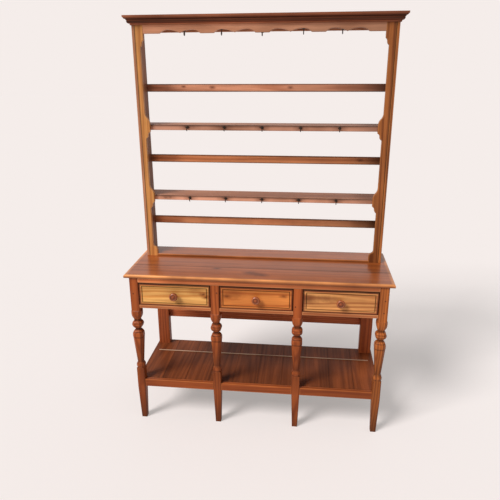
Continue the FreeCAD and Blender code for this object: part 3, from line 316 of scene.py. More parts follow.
def baluster(middle, ends):
    """Half width of the leg by height: tapered and square foot, collar, long taper, bell, ball, cup and
    block. Middle and ends scale the widths of the turned-looking part and of the square parts."""
    neck, low_neck, bell, ball, cup, collar, waist = (
        0.5 * middle * wide for wide in (0.0315, 0.025, 0.052, 0.052, 0.050, 0.039, 0.029))
    block, head, foot = (0.5 * ends * wide for wide in (0.042, 0.039, 0.027))
    return outline([
        (foot, 0.0), (head, 0.185), (head, 0.292), (collar - 0.002, 0.296),
        (collar, 0.300, bow(0.016, 0.001), 1), (collar, 0.316), (waist, 0.326), (bell - 0.001, 0.467),
        (bell, 0.470), (bell, 0.482, reach(bell - low_neck, 0.024) * 1.02, 1), (low_neck, 0.506),
        (low_neck, 0.514, bow(0.040, ball - (neck + low_neck) / 2) * 1.01, 1), (neck, 0.554),
        (neck, 0.563, reach(cup - neck, 0.031), 1), (cup, 0.594), (cup, 0.607), (block, 0.612),
        (block, 0.783)])


def faceted_leg(top):
    """Eight-sided section at every height: face half width w and corner half width c put the section's
    corners at (w, c times root 2 minus w) and its seven reflections. Each side gets points beside its
    arrises. The cut lines and the hollows are darkened as painted shade, and the foot is darker towards the
    bottom."""
    cut_lines, cut_half, cut_deep = np.array([0.494, 0.527, 0.541]), 0.0026, 0.0011
    face, corner = baluster(1.0, 1.0), baluster(1.1, math.sqrt(2.0) * 0.955)
    rise = np.unique(np.round(np.concatenate([face[:, 1], np.linspace(0.46, 0.62, 81), [top]]), 6))
    rise = rise[rise <= top]
    groove = np.clip(1.0 - np.min(np.abs(rise[:, None] - cut_lines), axis=1) / cut_half, 0.0, 1.0)
    wide = np.interp(rise, face[:, 1], face[:, 0]) - cut_deep * groove
    diagonal = np.interp(rise, corner[:, 1], corner[:, 0]) - cut_deep * groove
    flat = np.clip(diagonal * math.sqrt(2.0) - wide, 0.2 * wide, 0.97 * wide)
    edges = np.stack([np.stack(pair, axis=1) for pair in (
        (wide, -flat), (wide, flat), (flat, wide), (-flat, wide),
        (-wide, flat), (-wide, -flat), (-flat, -wide), (flat, -wide))], axis=1)
    section, faces, rub_and_highlight = eased_sides(edges, ease=0.0006, inner=0.0032, limit=0.4)
    count = len(section) // len(rise)
    dirt_and_shade = groove * 0.9
    # Darkening by height: painted shade in the necks and hollows round ball, bell, collar and block, and the
    # foot darker towards the bottom.
    for heights, soil_and_shade in (([0.500, 0.507, 0.513, 0.518], [0.0, 0.8, 0.8, 0.0]),
                          ([0.550, 0.556, 0.562, 0.568], [0.0, 0.75, 0.75, 0.0]),
                          ([0.461, 0.466, 0.468, 0.472], [0.0, 0.6, 0.6, 0.0]),
                          ([0.314, 0.319, 0.325, 0.336], [0.0, 0.6, 0.6, 0.0]),
                          ([0.290, 0.294, 0.297, 0.301], [0.0, 0.6, 0.6, 0.0]),
                          ([0.606, 0.609, 0.612], [0.0, 0.4, 0.0]),
                          ([0.0, 0.012, 0.04], [0.65, 0.35, 0.0])):
        dirt_and_shade = dirt_and_shade + np.interp(rise, heights, soil_and_shade)
    points = np.column_stack([section, np.repeat(rise, count)])
    return points, faces, rub_and_highlight, np.repeat(np.clip(dirt_and_shade, 0.0, 1.0), count)


LEG_AXIS, LEG_TOP, INNER_LEG_TOP = -0.1785, 0.783, 0.759
leg_pine = waxed_pine("leg_pine", (172, 88, 40), (132, 60, 24), (84, 32, 11), rubbed_and_lit=(104, 46, 18),
                      ring=30.0, figure=0.8, streaks=0.5, rough=0.42, polish=0.06)
leg_gold = waxed_pine("golden_leg_pine", (178, 100, 46), (138, 70, 28), (88, 40, 14), rubbed_and_lit=(104, 50, 20),
                      ring=30.0, figure=0.8, streaks=0.5, rough=0.42, polish=0.06)
for number, (node, across, top, tone, wood) in enumerate((
        ("leg_front_left", -0.585, LEG_TOP, 0.42, leg_pine),
        ("leg_front_inner_left", -0.195, INNER_LEG_TOP, 0.0, leg_pine),
        ("leg_front_inner_right", 0.195, INNER_LEG_TOP, 0.75, leg_pine),
        ("leg_front_right", 0.585, LEG_TOP, 0.15, leg_gold))):
    points, faces, rub_and_highlight, dirt_and_shade = faceted_leg(top)
    points[:, :2] += (across, LEG_AXIS)
    tone = tone + np.interp(points[:, 2], [0.0, 0.3, 0.36, 0.59, 0.63], [-0.45, -0.35, 0.0, 0.0, 0.35])
    add_piece(node, points, faces, wood, name=node + "_baluster", along=2, seed=5.0 + number, tone=tone,
              wear_and_highlight=rub_and_highlight * 0.8, grime_and_shade=dirt_and_shade, sharp=24.0)


# Rails of the base: one long rail over the drawers, three under them, a board at each end and a deep board
# across the back. All are pine, tenoned into the legs and drawn up with pegs.
def board(node, material, along, seed, tone=0.0, ease=0.0015, trim=(0, 0, 0), fade=0.0,
          soil_and_shade=0.0):
    """A sawn and planed board in the place of a node, cut back at both ends by trim, the length of its
    tenons. Its tone changes by fade for each metre to the right, and its lower arrises are painted darker as
    shade."""
    low, high = corners(node)
    points, quads, wear_and_highlight = eased_box(low + trim, high - trim, ease)
    add_piece(node, points, quads, material, along=along, seed=seed, wear_and_highlight=wear_and_highlight,
              tone=tone + fade * points[:, 0],
              grime_and_shade=np.where(points[:, 2] < low[2] + 2 * ease, soil_and_shade, 0.0))


TENON = 0.014
rail_pine = waxed_pine("rail_pine", (214, 126, 76), (176, 92, 50), (122, 56, 26), rubbed_and_lit=(234, 160, 108),
                       ring=26.0, figure=0.6, streaks=0.5, rough=0.45)
# The rail over the drawers is toned up as painted light against the nosing's shadow, fades to the right as
# painted shade, and its lower arrises are painted dark as shade over the drawer gap.
board("rail_over_drawers", rail_pine, 0, 11.0, tone=0.35, trim=(TENON, 0, 0), fade=-1.4, soil_and_shade=0.6)
for seed, bay, tone in ((12.0, "left", -0.45), (13.0, "middle", -0.5), (14.0, "right", -0.65)):
    board("drawer_rail_" + bay, rail_pine, 0, seed, tone=tone, trim=(TENON, 0, 0))
for seed, side in ((15.0, "left"), (16.0, "right")):
    board("end_rail_" + side, leg_pine, 1, seed, tone=0.05, trim=(0, TENON, 0))
# The back board's pine is paler than the wood, painted light to lift it out of the shade it stands in.
painted_light_back_pine = waxed_pine("painted_light_back_pine", (212, 116, 70), (166, 82, 48), (110, 48, 26), rubbed_and_lit=(180, 104, 66),
                       ring=26.0, figure=0.6)
board("back_board", painted_light_back_pine, 0, 17.0, trim=(TENON + LEG_SPARE, 0, 0))


# Runners, guides, kickers and stops: plain strips of bare pine inside the base that carry the drawers, guide
# them and keep them level; no wax, grey-brown with age.
bare = {"ring": 30.0, "figure": 0.5, "streaks": 0.5, "rough": 0.62, "polish": 0.0}
inner_along = waxed_pine("bare_pine_along", (178, 128, 84), (146, 98, 60), (110, 70, 42), lie="y", **bare)
inner_across = waxed_pine("bare_pine_across", (182, 132, 88), (150, 102, 64), (112, 72, 44), lie="x", **bare)


def finish_node(node, material):
    """Gives a node its material and leaves its solid showing."""
    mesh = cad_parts[node].data
    mesh.materials.clear()
    mesh.materials.append(material)


for node in ("drawer_runners", "drawer_guides", "drawer_kickers"):
    finish_node(node, inner_along)
finish_node("drawer_stops", inner_across)


# Worktop: two pine boards glued edge to edge, rounded over at the front and the ends, polished by use. The
# seam, old knots and darker streaks show in the upper face.
def ruled(low, high, near, far, first, last, count):
    """Grid lines from low to high: close ones beside each end and even ones between."""
    return np.concatenate([low + near, np.linspace(low + first, high - last, count), (high - far)[::-1]])


def slab_faces(shape):
    """Faces of a slab of two like grids of points, the upper numbered first: both sides and the rim."""
    index = np.arange(shape[0] * shape[1]).reshape(shape)
    side = grid_quads(index)
    rim = np.concatenate([index[:, 0], index[-1, 1:], index[-2::-1, -1], index[0, -2:0:-1]])
    ahead = np.roll(rim, -1)
    edge = np.stack([rim + index.size, ahead + index.size, ahead, rim], axis=1)
    return np.concatenate([side, side[:, ::-1] + index.size, edge])


def nosed_board(low, high, upper, lower, open_back, seam=0.0007):
    """Upper and lower faces are heights over a grid: each drops by a quarter circle of the nosing's radius in
    the last stretch before the front and the ends, whichever is nearer; the joint edge has a tiny one. A pale
    line along the nosing, weakening to the right, and a pale band at the ends are partly wear and partly
    painted highlight; the joint is dirty, and the underside is darker as painted shade."""
    turn = 1.0 - np.cos(np.linspace(0.0, math.pi / 2, 7))
    near = np.unique(np.round(np.concatenate([upper * turn, lower * turn, [upper + 0.012]]), 6))
    back = np.array([0.0, seam, 0.006])
    across = ruled(low[0], high[0], near, near, 0.06, 0.06, 41)
    if open_back:
        deep = ruled(low[1], high[1], near, back, 0.04, 0.02, 5)
    else:
        deep = ruled(low[1], high[1], back, back, 0.02, 0.02, 6)
    x, y = np.meshgrid(across, deep, indexing="ij")
    ends = np.minimum(x - low[0], high[0] - x)
    front = y - low[1] if open_back else np.full_like(y, 1.0)
    joint = np.minimum(high[1] - y, np.full_like(y, 1.0) if open_back else y - low[1])

    def drop(radius):
        """Fall of the quarter circle at the nosing or of the tiny one at the joint, the larger of both."""
        side = np.clip(radius - np.minimum(ends, front), 0.0, radius)
        edge = np.clip(seam - joint, 0.0, seam)
        return np.maximum(radius - np.sqrt(radius ** 2 - side ** 2), seam - np.sqrt(seam ** 2 - edge ** 2))

    top = np.stack([x, y, high[2] - drop(upper)], axis=-1).reshape(-1, 3)
    bottom = np.stack([x, y, low[2] + drop(lower)], axis=-1).reshape(-1, 3)
    # Pale line along the top of the nosing: partly wear, partly painted highlight, weaker to the right.
    nosing_highlight_and_wear = np.interp(x, [-0.3, 0.0, 0.4], [1.5, 1.1, 0.75]) * np.exp(-((front - 0.003) / 0.0038) ** 2)
    rub_and_highlight = np.maximum(nosing_highlight_and_wear, 0.8 * np.clip(1.6 - ends / 0.010, 0.0, 1.0)).ravel()
    dirt_and_shade = np.clip(1.0 - joint / 0.005, 0.0, 1.0).ravel() * 0.9
    # The underside gets a fifth of the rub and 0.3 more darkening, as painted shade.
    return (np.concatenate([top, bottom]), slab_faces(x.shape), np.concatenate([rub_and_highlight, rub_and_highlight * 0.2]),
            np.concatenate([dirt_and_shade, dirt_and_shade + 0.3]))


WORKTOP_UP, NOSE_OVER, NOSE_UNDER = 0.8, 0.0075, 0.004
worktop_knots = [((across, deep, WORKTOP_UP), radius, core) for across, deep, radius, core in (
    (-0.204, -0.081, 0.006, 0.6), (-0.040, -0.116, 0.009, 0.25), (-0.008, -0.132, 0.013, 0.2),
    (0.024, -0.148, 0.009, 0.3))]
worktop_pine = waxed_pine("worktop_pine", (166, 89, 41), (132, 66, 29), (82, 35, 15), rubbed_and_lit=(252, 172, 104),
                          ring=17.0, figure=0.5, streaks=0.3, knots=0.05, rough=0.36, polish=0.36, gloss=0.2,
                          spots=worktop_knots)
for node, seed, open_back, tone, fade in (("worktop_front_board", 21.0, True, 0.02, -0.1),
                                          ("worktop_back_board", 22.4, False, -0.03, -0.6)):
    points, quads, rub_and_highlight, dirt_and_shade = nosed_board(*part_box(node), NOSE_OVER, NOSE_UNDER, open_back)
    add_piece(node, points, quads, worktop_pine, seed=seed,
              tone=tone + fade * points[:, 0], wear_and_highlight=rub_and_highlight, grime_and_shade=dirt_and_shade)


# Pot board: three front rails between the legs, bearers inside them, ten boards laid front to back and a thin
# pale strip across them. Old dark pine, streaked along the grain, with dirt in the seams.
POT_TENON, POT_SEAM, POT_TOUCH, POT_EASE = 0.011, 0.0006, 0.0001, 0.0008
pot_rail_pine = waxed_pine("pot_rail_pine", (184, 92, 42), (142, 64, 28), (92, 38, 14), rubbed_and_lit=(204, 116, 60),
                           ring=26.0, figure=0.6, streaks=0.45, rough=0.42, polish=0.06)
for seed, bay, tone in ((31.0, "left", -0.55), (32.0, "middle", -0.4), (33.0, "right", -0.65)):
    board("pot_rail_" + bay, pot_rail_pine, 0, seed, tone=tone, trim=(POT_TENON, 0, 0), ease=0.002)
pot_pine = waxed_pine("pot_board_pine", (126, 66, 35), (94, 46, 23), (58, 26, 12), ring=26.0,
                      figure=0.6, streaks=0.65, knots=0.05, polish=0.03, gloss=0.12)
pot_tones = (0.30, 0.10, 0.25, -0.08, -0.16, -0.05, -0.14, 0.35, 0.55, 0.80)
low, high = corners("pot_boards")
pitch = (high[0] - low[0] + POT_SEAM) / len(pot_tones)
for number, tone in enumerate(pot_tones):
    left = low + (pitch * number, 0, 0)
    right = np.array([left[0] + pitch - POT_TOUCH, high[1] - POT_SEAM, high[2]])
    points, quads, wear_and_highlight = eased_box(left, right, POT_EASE)
    add_piece("pot_boards" if number == 0 else None, points, quads, pot_pine, along=1,
              name="pot_board_{}".format(number), seed=34.0 + number * 1.3, tone=tone, grime_and_shade=wear_and_highlight * 0.35)
strip_pine = waxed_pine("strip_pine", (204, 172, 146), (176, 142, 116), (130, 96, 72), ring=40.0,
                        figure=0.4, streaks=0.4)
board("pot_strip", strip_pine, 0, 47.0, ease=POT_EASE)
finish_node("pot_bearers", inner_across)


# Drawers: pine fronts with a rounded border and a sunk line round a plain field, sides and back of bare pine,
# a thin bottom let into grooves, and one turned knob each.
def drawer_face(low, high, tone):
    """Front face as a depth over a grid, set by the distance to the nearest edge: a quarter round at the rim,
    a flat border, a half-round sunk line and the field. The back is flat. The border is rubbed and dark, with
    a paler band beside the line as a painted highlight on the bead; the rim, most under the rail above, and
    the sunk line are darkened as painted shade, and the field darkens upwards as painted shade from the
    overhang."""
    rim_round, line_at, line_wide, line_deep = 0.003, 0.013, 0.0032, 0.0026
    dark_band, bead_highlight_band = 0.008, 0.0125
    turn = rim_round * (1.0 - np.cos(np.linspace(0.0, math.pi / 2, 5)))
    groove = line_at + line_wide * np.linspace(0.0, 1.0, 7)
    near = np.concatenate([turn, [0.006, 0.0085, 0.0115], groove, [0.018, 0.022]])
    x, z = np.meshgrid(ruled(low[0], high[0], near, near, 0.04, 0.04, 9),
                       ruled(low[2], high[2], near, near, 0.035, 0.035, 3), indexing="ij")
    inset = np.minimum(np.minimum(x - low[0], high[0] - x), np.minimum(z - low[2], high[2] - z))
    rim = np.clip(rim_round - inset, 0.0, rim_round)
    sunk = np.clip((inset - line_at) / line_wide, 0.0, 1.0)
    depth = rim_round - np.sqrt(rim_round ** 2 - rim ** 2) + line_deep * np.sin(math.pi * sunk) ** 0.7
    front = np.stack([x, low[1] + depth, z], axis=-1).reshape(-1, 3)
    rear = np.stack([x, np.full_like(x, high[1]), z], axis=-1).reshape(-1, 3)
    # Painted shade in the gap round the front, reaching furthest down from the top, and in the sunk line.
    gap = np.clip(1.0 - np.minimum(inset / 0.0036, (high[2] - z) / 0.0080), 0.0, 1.0)
    line = np.interp(inset, [0.0115, 0.0130, 0.0162, 0.0180], [0.0, 0.7, 0.7, 0.0])
    dirt_and_shade = np.clip(line + np.where(inset < dark_band, 0.2, 0.0) + gap, 0.0, 1.0)
    rub_and_highlight = np.where(inset < dark_band, 1.15, np.where(inset < bead_highlight_band, 0.5, 0.0))
    # The field is painted darker upwards as shade; the band beside the line is a painted highlight on the
    # bead.
    field = tone + 0.45 * (low[2] + high[2] - 2 * z) / (high[2] - low[2])
    border = np.where(inset < dark_band, -0.25, np.where(inset < bead_highlight_band, 0.45, field))
    blank = np.zeros(x.size)
    return (np.concatenate([front, rear]), slab_faces(x.shape), np.concatenate([rub_and_highlight.ravel(), blank]),
            np.concatenate([dirt_and_shade.ravel(), blank]), np.concatenate([border.ravel(), blank]))


def spun(profile, sides):
    """A profile of radius and way out, turned about an axis that points to the front from the origin."""
    turn = np.linspace(0.0, 2 * math.pi, sides + 1)[:-1]
    radius, out = profile[:, :1], profile[:, 1:]
    return np.stack([radius * np.cos(turn), np.repeat(-out, sides, axis=1), radius * np.sin(turn)],
                    axis=-1).reshape(-1, 3)


def turned_knob(centre, face):
    """A profile of radius against distance from the drawer front, spun about the knob's axis. The ring on the
    face and the neck are darkened, and the rim is rubbed."""
    rim, neck, long, sides = 0.01826, 0.010, 0.029, 48
    steps = outline([(0.0, 0.0), (neck * 1.2, 0.0), (neck * 1.2, long * 0.10), (neck, long * 0.16),
                     (neck, long * 0.36, long * 0.3, -1),
                     (rim, long * 0.60, bow(long * 0.24, long * 0.06), 1),
                     (rim, long * 0.84), (rim * 0.78, long * 0.93), (rim * 0.62, long * 0.87),
                     (rim * 0.34, long * 0.90), (rim * 0.22, long), (0.0, long)])[1:-1]
    radius, out = steps[:, :1], steps[:, 1:]
    points = spun(steps, sides) + (centre[0], face, centre[1])
    hollow = np.exp(-((radius / rim - 0.62) / 0.12) ** 2) * (out > long * 0.8) + 0.8 * (out < long * 0.4)
    rub_and_highlight = np.exp(-((radius / rim - 0.86) / 0.10) ** 2) * (out > long * 0.8)
    return (points, tube_faces(len(steps), sides), np.repeat(rub_and_highlight.ravel(), sides),
            np.repeat(np.clip(hollow, 0, 1).ravel(), sides) * 0.75)


def upright_knots(plane, *places):
    """Knots on an upright face at a depth, each given as across, up, radius and darkness of its core."""
    return [((across, plane, up), radius, core) for across, up, radius, core in places]


DRAWER_PLANE = -0.1985
drawer_golden = waxed_pine(
    "drawer_golden", (254, 196, 114), (222, 150, 76), (140, 70, 26), rubbed_and_lit=(150, 74, 42),
    ring=34.0, figure=0.9, rough=0.45,
    spots=upright_knots(DRAWER_PLANE, (-0.248, 0.712, 0.006, 0.7), (-0.239, 0.697, 0.005, 0.7),
                        (-0.285, 0.722, 0.010, 0.0)))
drawer_orange = waxed_pine(
    "drawer_orange", (226, 138, 68), (186, 98, 42), (126, 58, 22), rubbed_and_lit=(140, 66, 34),
    ring=32.0, figure=0.85, rough=0.45,
    spots=upright_knots(DRAWER_PLANE, (-0.139, 0.707, 0.006, 0.5), (0.128, 0.719, 0.005, 0.4),
                        (-0.105, 0.716, 0.012, 0.0)))
drawer_brown = waxed_pine(
    "drawer_brown", (238, 168, 100), (188, 118, 66), (106, 48, 24), rubbed_and_lit=(138, 66, 38),
    ring=30.0, figure=0.9, streaks=0.65, rough=0.45,
    spots=upright_knots(DRAWER_PLANE, (0.243, 0.708, 0.012, 0.25), (0.311, 0.717, 0.008, 0.0),
                        (0.348, 0.712, 0.010, 0.0)))
knob_wood = waxed_pine("knob_wood", (168, 86, 44), (128, 60, 28), (84, 36, 16), rubbed_and_lit=(206, 126, 80),
                       ring=60.0, figure=0.5, streaks=0.4, rough=0.36, polish=0.2, gloss=0.3)
for bay, seed, wood, tone in (("left", 51.0, drawer_golden, 0.25), ("middle", 52.2, drawer_orange, 0.15),
                              ("right", 53.4, drawer_brown, 0.2)):
    body = "drawer_" + bay
    low, high = corners(body + "_front")
    points, quads, rub_and_highlight, dirt_and_shade, border = drawer_face(low, high, tone)
    add_piece(body + "_front", points, quads, wood, body=body, seed=seed, tone=border,
              wear_and_highlight=rub_and_highlight, grime_and_shade=dirt_and_shade)
    points, faces, rub_and_highlight, dirt_and_shade = turned_knob(((low[0] + high[0]) / 2, (low[2] + high[2]) / 2), low[1])
    add_piece(body + "_knob", points, faces, knob_wood, body=body, along=1,
              seed=seed + 5.0, wear_and_highlight=rub_and_highlight, grime_and_shade=dirt_and_shade)
    for part, wood in (("_sides", inner_along), ("_back", inner_across), ("_bottom", inner_across)):
        finish_node(body + part, wood)


# Rack: two side boards with the shelves housed in them, a thin floor board on the worktop, three slender
# rails that plates lean on, a rail and a board at the top. Reddish pine, paler and pinker than the base.
def shaped_bar(stations, near, far, low, high, ease=0.0014, fall=0.004):
    """Four-sided section carried along stations: near and far bound it one way and change from station to
    station, low and high bound it the other way. Arrises are eased; wear is 1 there and fades inwards."""
    near, far, low, high = (np.broadcast_to(value, stations.shape) for value in (near, far, low, high))
    edges = np.stack([np.stack([near, low], 1), np.stack([far, low], 1),
                      np.stack([far, high], 1), np.stack([near, high], 1)], axis=1)
    section, faces, rub_and_highlight = eased_sides(edges, ease, ease + fall, math.inf)
    return section, np.repeat(stations, len(section) // len(stations)), faces, rub_and_highlight


rack_pine = waxed_pine("rack_pine", (200, 136, 98), (152, 90, 58), (92, 48, 28), rubbed_and_lit=(214, 154, 116),
                       figure=0.65)
brown_pine = waxed_pine("brown_pine", (188, 112, 58), (134, 70, 32), (66, 28, 12), rubbed_and_lit=(206, 136, 76),
                        figure=0.8, streaks=0.7, rough=0.45)
RACK_EASE, RACK_INSIDE, STILE_BACK = 0.0015, 0.5848, 0.082
for side, seed, wood in (("left", 61.0, rack_pine), ("right", 62.0, brown_pine)):
    node = "rack_side_" + side
    points, quads, wear_and_highlight = eased_box(*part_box(node), RACK_EASE)
    # The inside faces are painted dark as shade, darkest at the front behind the stile.
    inside = np.abs(points[:, 0]) < RACK_INSIDE
    dirt_and_shade = np.where(inside, 0.42, 0.0) + np.where(inside & (points[:, 1] < STILE_BACK), 0.4, 0.0)
    add_piece(node, points, quads, wood, along=2, seed=seed, wear_and_highlight=wear_and_highlight * 0.5, grime_and_shade=dirt_and_shade)

HOUSING, BAR_STATIONS = 0.005, 61
HOOK_PITCH, HOOK_STEPS, HOOK_LEVELS, HOOK_FACE = 0.181, (-2, -1, 0, 1, 2), (1.453, 1.107), 0.0955
# Dark spots round the hook plates on the shelf fronts are the hooks' painted shadows.
hook_shadow_spots = [(HOOK_PITCH * step, level, 0.0085, 1.0) for level in HOOK_LEVELS for step in HOOK_STEPS]
shelf_pine = waxed_pine("shelf_pine", (200, 138, 104), (152, 92, 62), (92, 46, 28), rubbed_and_lit=(222, 160, 132),
                        figure=0.65, halo=0.4,
                        spots=upright_knots(HOOK_FACE, *hook_shadow_spots, (-0.490, 1.107, 0.007, 0.4),
                                            (-0.462, 1.108, 0.006, 0.4), (-0.325, 1.453, 0.008, 0.1)))
for node, seed, deeper, (top_tone, top_fall), (front_tone, front_fall) in (
        ("shelf_upper", 63.0, 0.0045, (-0.45, 1.2), (-0.45, 0.35)),
        ("shelf_lower", 64.0, 0.0025, (0.05, 0.45), (0.15, 0.7))):
    low, high = corners(node)
    low[2] -= deeper
    stations = np.linspace(low[0] + HOUSING, high[0] - HOUSING, BAR_STATIONS)
    section, way, faces = shaped_bar(stations, low[1], high[1], low[2], high[2], ease=0.0012)[:3]
    front = section[:, 0] < low[1] + 0.0005
    lip = np.interp(high[2] - section[:, 1], [0.002, 0.006], [0.95, 0.4])
    lip = np.where(section[:, 0] < low[1] + 0.0025, lip, 0.12)
    lip = np.where(front & (section[:, 1] < high[2] - 0.008), 0.0, lip)
    # Both faces are toned darker to the right, and shadow darkens the right end, as painted shade.
    shadow = np.interp(way, [0.38, 0.44, 0.50, 0.58], [0.0, 0.15, 0.5, 0.65]) * np.where(front, 0.7, 1.0)
    add_piece(node, np.column_stack([way, section]), faces, shelf_pine, seed=seed,
              tone=np.where(front, front_tone - front_fall * way, top_tone - top_fall * way),
              wear_and_highlight=np.where(front, 1.0, 0.0), grime_and_shade=np.maximum(lip, shadow))

PLATE_FACE = 0.2155
plate_pine = waxed_pine("plate_rail_pine", (226, 156, 122), (180, 110, 78), (104, 52, 32), figure=0.65,
                        spots=upright_knots(PLATE_FACE, (-0.399, 1.636, 0.003, 0.7),
                                            (-0.255, 1.632, 0.004, 0.5), (0.125, 1.631, 0.004, 0.4)))
plate_orange = waxed_pine("plate_rail_orange", (228, 148, 98), (182, 104, 62), (106, 52, 28),
                          rubbed_and_lit=(252, 182, 132), figure=0.65,
                          spots=upright_knots(PLATE_FACE, (0.476, 1.287, 0.004, 0.5)))
# Along each rail the tone is painted light at the left and shade at the right; the wear amount pales the
# lower rail as painted light against the shadow of the shelf above.
for node, seed, deeper, wood, painted_light_amount, tones in (
        ("plate_rail_upper", 65.0, 0.0035, plate_pine, 0.0, (1.0, 0.3, 0.1, -0.75)),
        ("plate_rail_middle", 66.0, 0.0050, plate_orange, 0.0, (1.0, 0.85, 0.0, -0.1)),
        ("plate_rail_lower", 67.0, 0.0055, plate_orange, 0.7, (1.0, 0.2, 0.7, -0.4))):
    low, high = corners(node)
    low[2] -= deeper
    stations = np.linspace(low[0], high[0], BAR_STATIONS)
    section, way, faces, rub_and_highlight = shaped_bar(stations, low[1], high[1], low[2], high[2], ease=0.0022)
    # The ends and the arrises are painted dark as shade.
    dirt_and_shade = np.interp(way, [-0.584, -0.565, -0.545, 0.38, 0.45, 0.51, 0.55, 0.584],
                     [0.7, 0.4, 0.0, 0.0, 0.2, 0.5, 0.8, 1.0])
    add_piece(node, np.column_stack([way, section]), faces, wood, seed=seed,
              tone=np.interp(way, [-0.52, -0.3, 0.03, 0.38], tones),
              wear_and_highlight=np.full_like(way, painted_light_amount), grime_and_shade=np.maximum(dirt_and_shade, 0.8 * rub_and_highlight))

board("rear_top_rail", rack_pine, 0, 68.0, tone=-0.1)
# The top board takes the shaded pine, painted darker as shade.
board("rack_top_board", shade_pine, 0, 69.0, tone=0.1)
FLOOR_SHY = 0.0006
low, high = corners("rack_floor")
points, quads, wear_and_highlight = eased_box(low + (0, FLOOR_SHY, 0), high, RACK_EASE)
# The lower front arris, where the board sits on the worktop, is painted dark as shade.
joint = (points[:, 1] < low[1] + 0.004) & (points[:, 2] < low[2] + 0.003)
add_piece("rack_floor", points, quads, worktop_pine, seed=70.0, wear_and_highlight=wear_and_highlight * 0.3,
          grime_and_shade=np.where(joint, 0.65, 0.0))


# Front stiles: narrow boards nailed to the front edges of the side boards, sawn with a flared foot, an ear at
# each shelf and a bracket at the head.
def swing(low_x, low_z, high_x, high_z, out_first):
    """Two equal arcs that swing from one width to another, turning over half way."""
    half_x, half_z = (high_x - low_x) / 2, (high_z - low_z) / 2
    radius = reach(abs(half_x), half_z) * 1.001
    first = 1 if out_first == (half_x > 0) else -1
    return [(low_x, low_z, radius, first), (low_x + half_x, low_z + half_z, radius, -first)]


golden_pine = waxed_pine("golden_pine", (222, 154, 86), (182, 112, 58), (118, 62, 28),
                         rubbed_and_lit=(232, 168, 104), figure=0.65, streaks=0.5, rough=0.45)
NARROW, EAR, HEAD = 0.022, 0.043, 0.038
STILE_FOOT, STILE_TOP, STILE_OUTER = 0.800, 1.925, 0.584
steps = [(EAR, STILE_FOOT)] + swing(EAR, 0.833, NARROW, 0.862, False) + [(NARROW, 0.862)]
for level in (1.117, 1.463):
    steps += swing(NARROW, level - 0.064, EAR, level - 0.032, True) + [(EAR, level - 0.032)]
    steps += swing(EAR, level + 0.006, NARROW, level + 0.058, False) + [(NARROW, level + 0.058)]
steps += swing(NARROW, 1.812, HEAD, 1.842, True) + [(HEAD, 1.842), (HEAD, STILE_TOP)]
edge = outline(steps)
rise = np.unique(np.round(np.concatenate([edge[:, 1], np.linspace(STILE_FOOT, STILE_TOP, 60)]), 5))
wide = np.interp(rise, edge[:, 1], edge[:, 0])
for node, side, seed, wood, tones, wider in (
        ("rack_stile_left", -1, 71.0, golden_pine, (0.0, 0.0, 0.0, 0.0, 0.0), 0.0),
        ("rack_stile_right", 1, 72.0, brown_pine, (-0.7, -0.6, -0.15, -0.35, -0.5), 0.006)):
    low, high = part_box(node)
    section, way, faces, rub_and_highlight = shaped_bar(rise, 0.0, wide + wider, low[1], high[1], ease=0.0018)
    points = np.stack([side * (STILE_OUTER - section[:, 0]), section[:, 1], way], axis=1)
    faces = faces if side < 0 else [face[::-1] for face in faces]
    add_piece(node, points, faces, wood, along=2, seed=seed, wear_and_highlight=rub_and_highlight * 0.6,
              tone=np.interp(way, [0.80, 0.86, 0.95, 1.3, 1.8], tones),
              grime_and_shade=np.where(section[:, 0] < 0.002, 0.7, 0.0))


# Frieze: a thin board of pale pine under the cornice, let in between the heads of the stiles. Its lower edge
# is sawn in four pairs of scallops with a cusp in each pair.
def scallops(across):
    """Height of the lower edge: in each pair two arcs climb to a crown and fall to a cusp, mirrored; flat
    between the pairs."""
    pair, flat, rise, crown, hump, cusp = 0.188, 0.062, 0.015, 0.036, 0.094, 0.0015
    within = np.mod(across + 2 * pair + 1.5 * flat, pair + flat)
    inside = (within < pair) & (np.abs(across) < 2 * pair + 1.5 * flat)
    way = np.minimum(within, pair - within)
    outer, inner = reach(rise, crown), reach(rise - cusp, hump - crown)
    climb = rise - outer + np.sqrt(np.maximum(outer ** 2 - (crown - np.minimum(way, crown)) ** 2, 0.0))
    fall = rise - inner + np.sqrt(np.maximum(inner ** 2 - np.maximum(way - crown, 0.0) ** 2, 0.0))
    return np.where(inside, np.where(way < crown, climb, fall), 0.0)


FRIEZE_STATIONS, FRIEZE_MIDDLE = 421, 1.885
low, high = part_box("frieze")
across = np.linspace(low[0], high[0], FRIEZE_STATIONS)
section, way, faces, rub_and_highlight = shaped_bar(across, low[1], high[1], low[2] + scallops(across), high[2])
# The frieze pine is made paler, and the tone lighter towards the top, as painted light against the cornice's
# shadow; the tone darkens to the right as painted shade.
frieze_pine = waxed_pine("frieze_pine", (228, 164, 128), (198, 134, 100), (136, 80, 54),
                         rubbed_and_lit=(206, 148, 116), figure=0.6, streaks=0.5)
add_piece("frieze", np.column_stack([way, section]), faces, frieze_pine, seed=75.0, wear_and_highlight=rub_and_highlight,
          tone=-0.3 - 1.3 * way + 25.0 * (section[:, 1] - FRIEZE_MIDDLE))


# Cornice: a moulding planed in one run and mitred round the front and both ends; fillet, cove, bead, cove and
# a square top member. Dark red-brown with paler rubbed edges; the lower fillet is paled further as painted
# light, the coves and the bead's underside are darkened as painted shade, and the whole darkens to the right
# as painted shade.
CORNICE_OUT, CORNICE_TALL, CORNICE_FOOT, CORNICE_STATIONS = 0.031, 0.040, 1.905, 24
CORNICE_HALF, CORNICE_FACE, CORNICE_BACK = 0.597, 0.0775, 0.2275


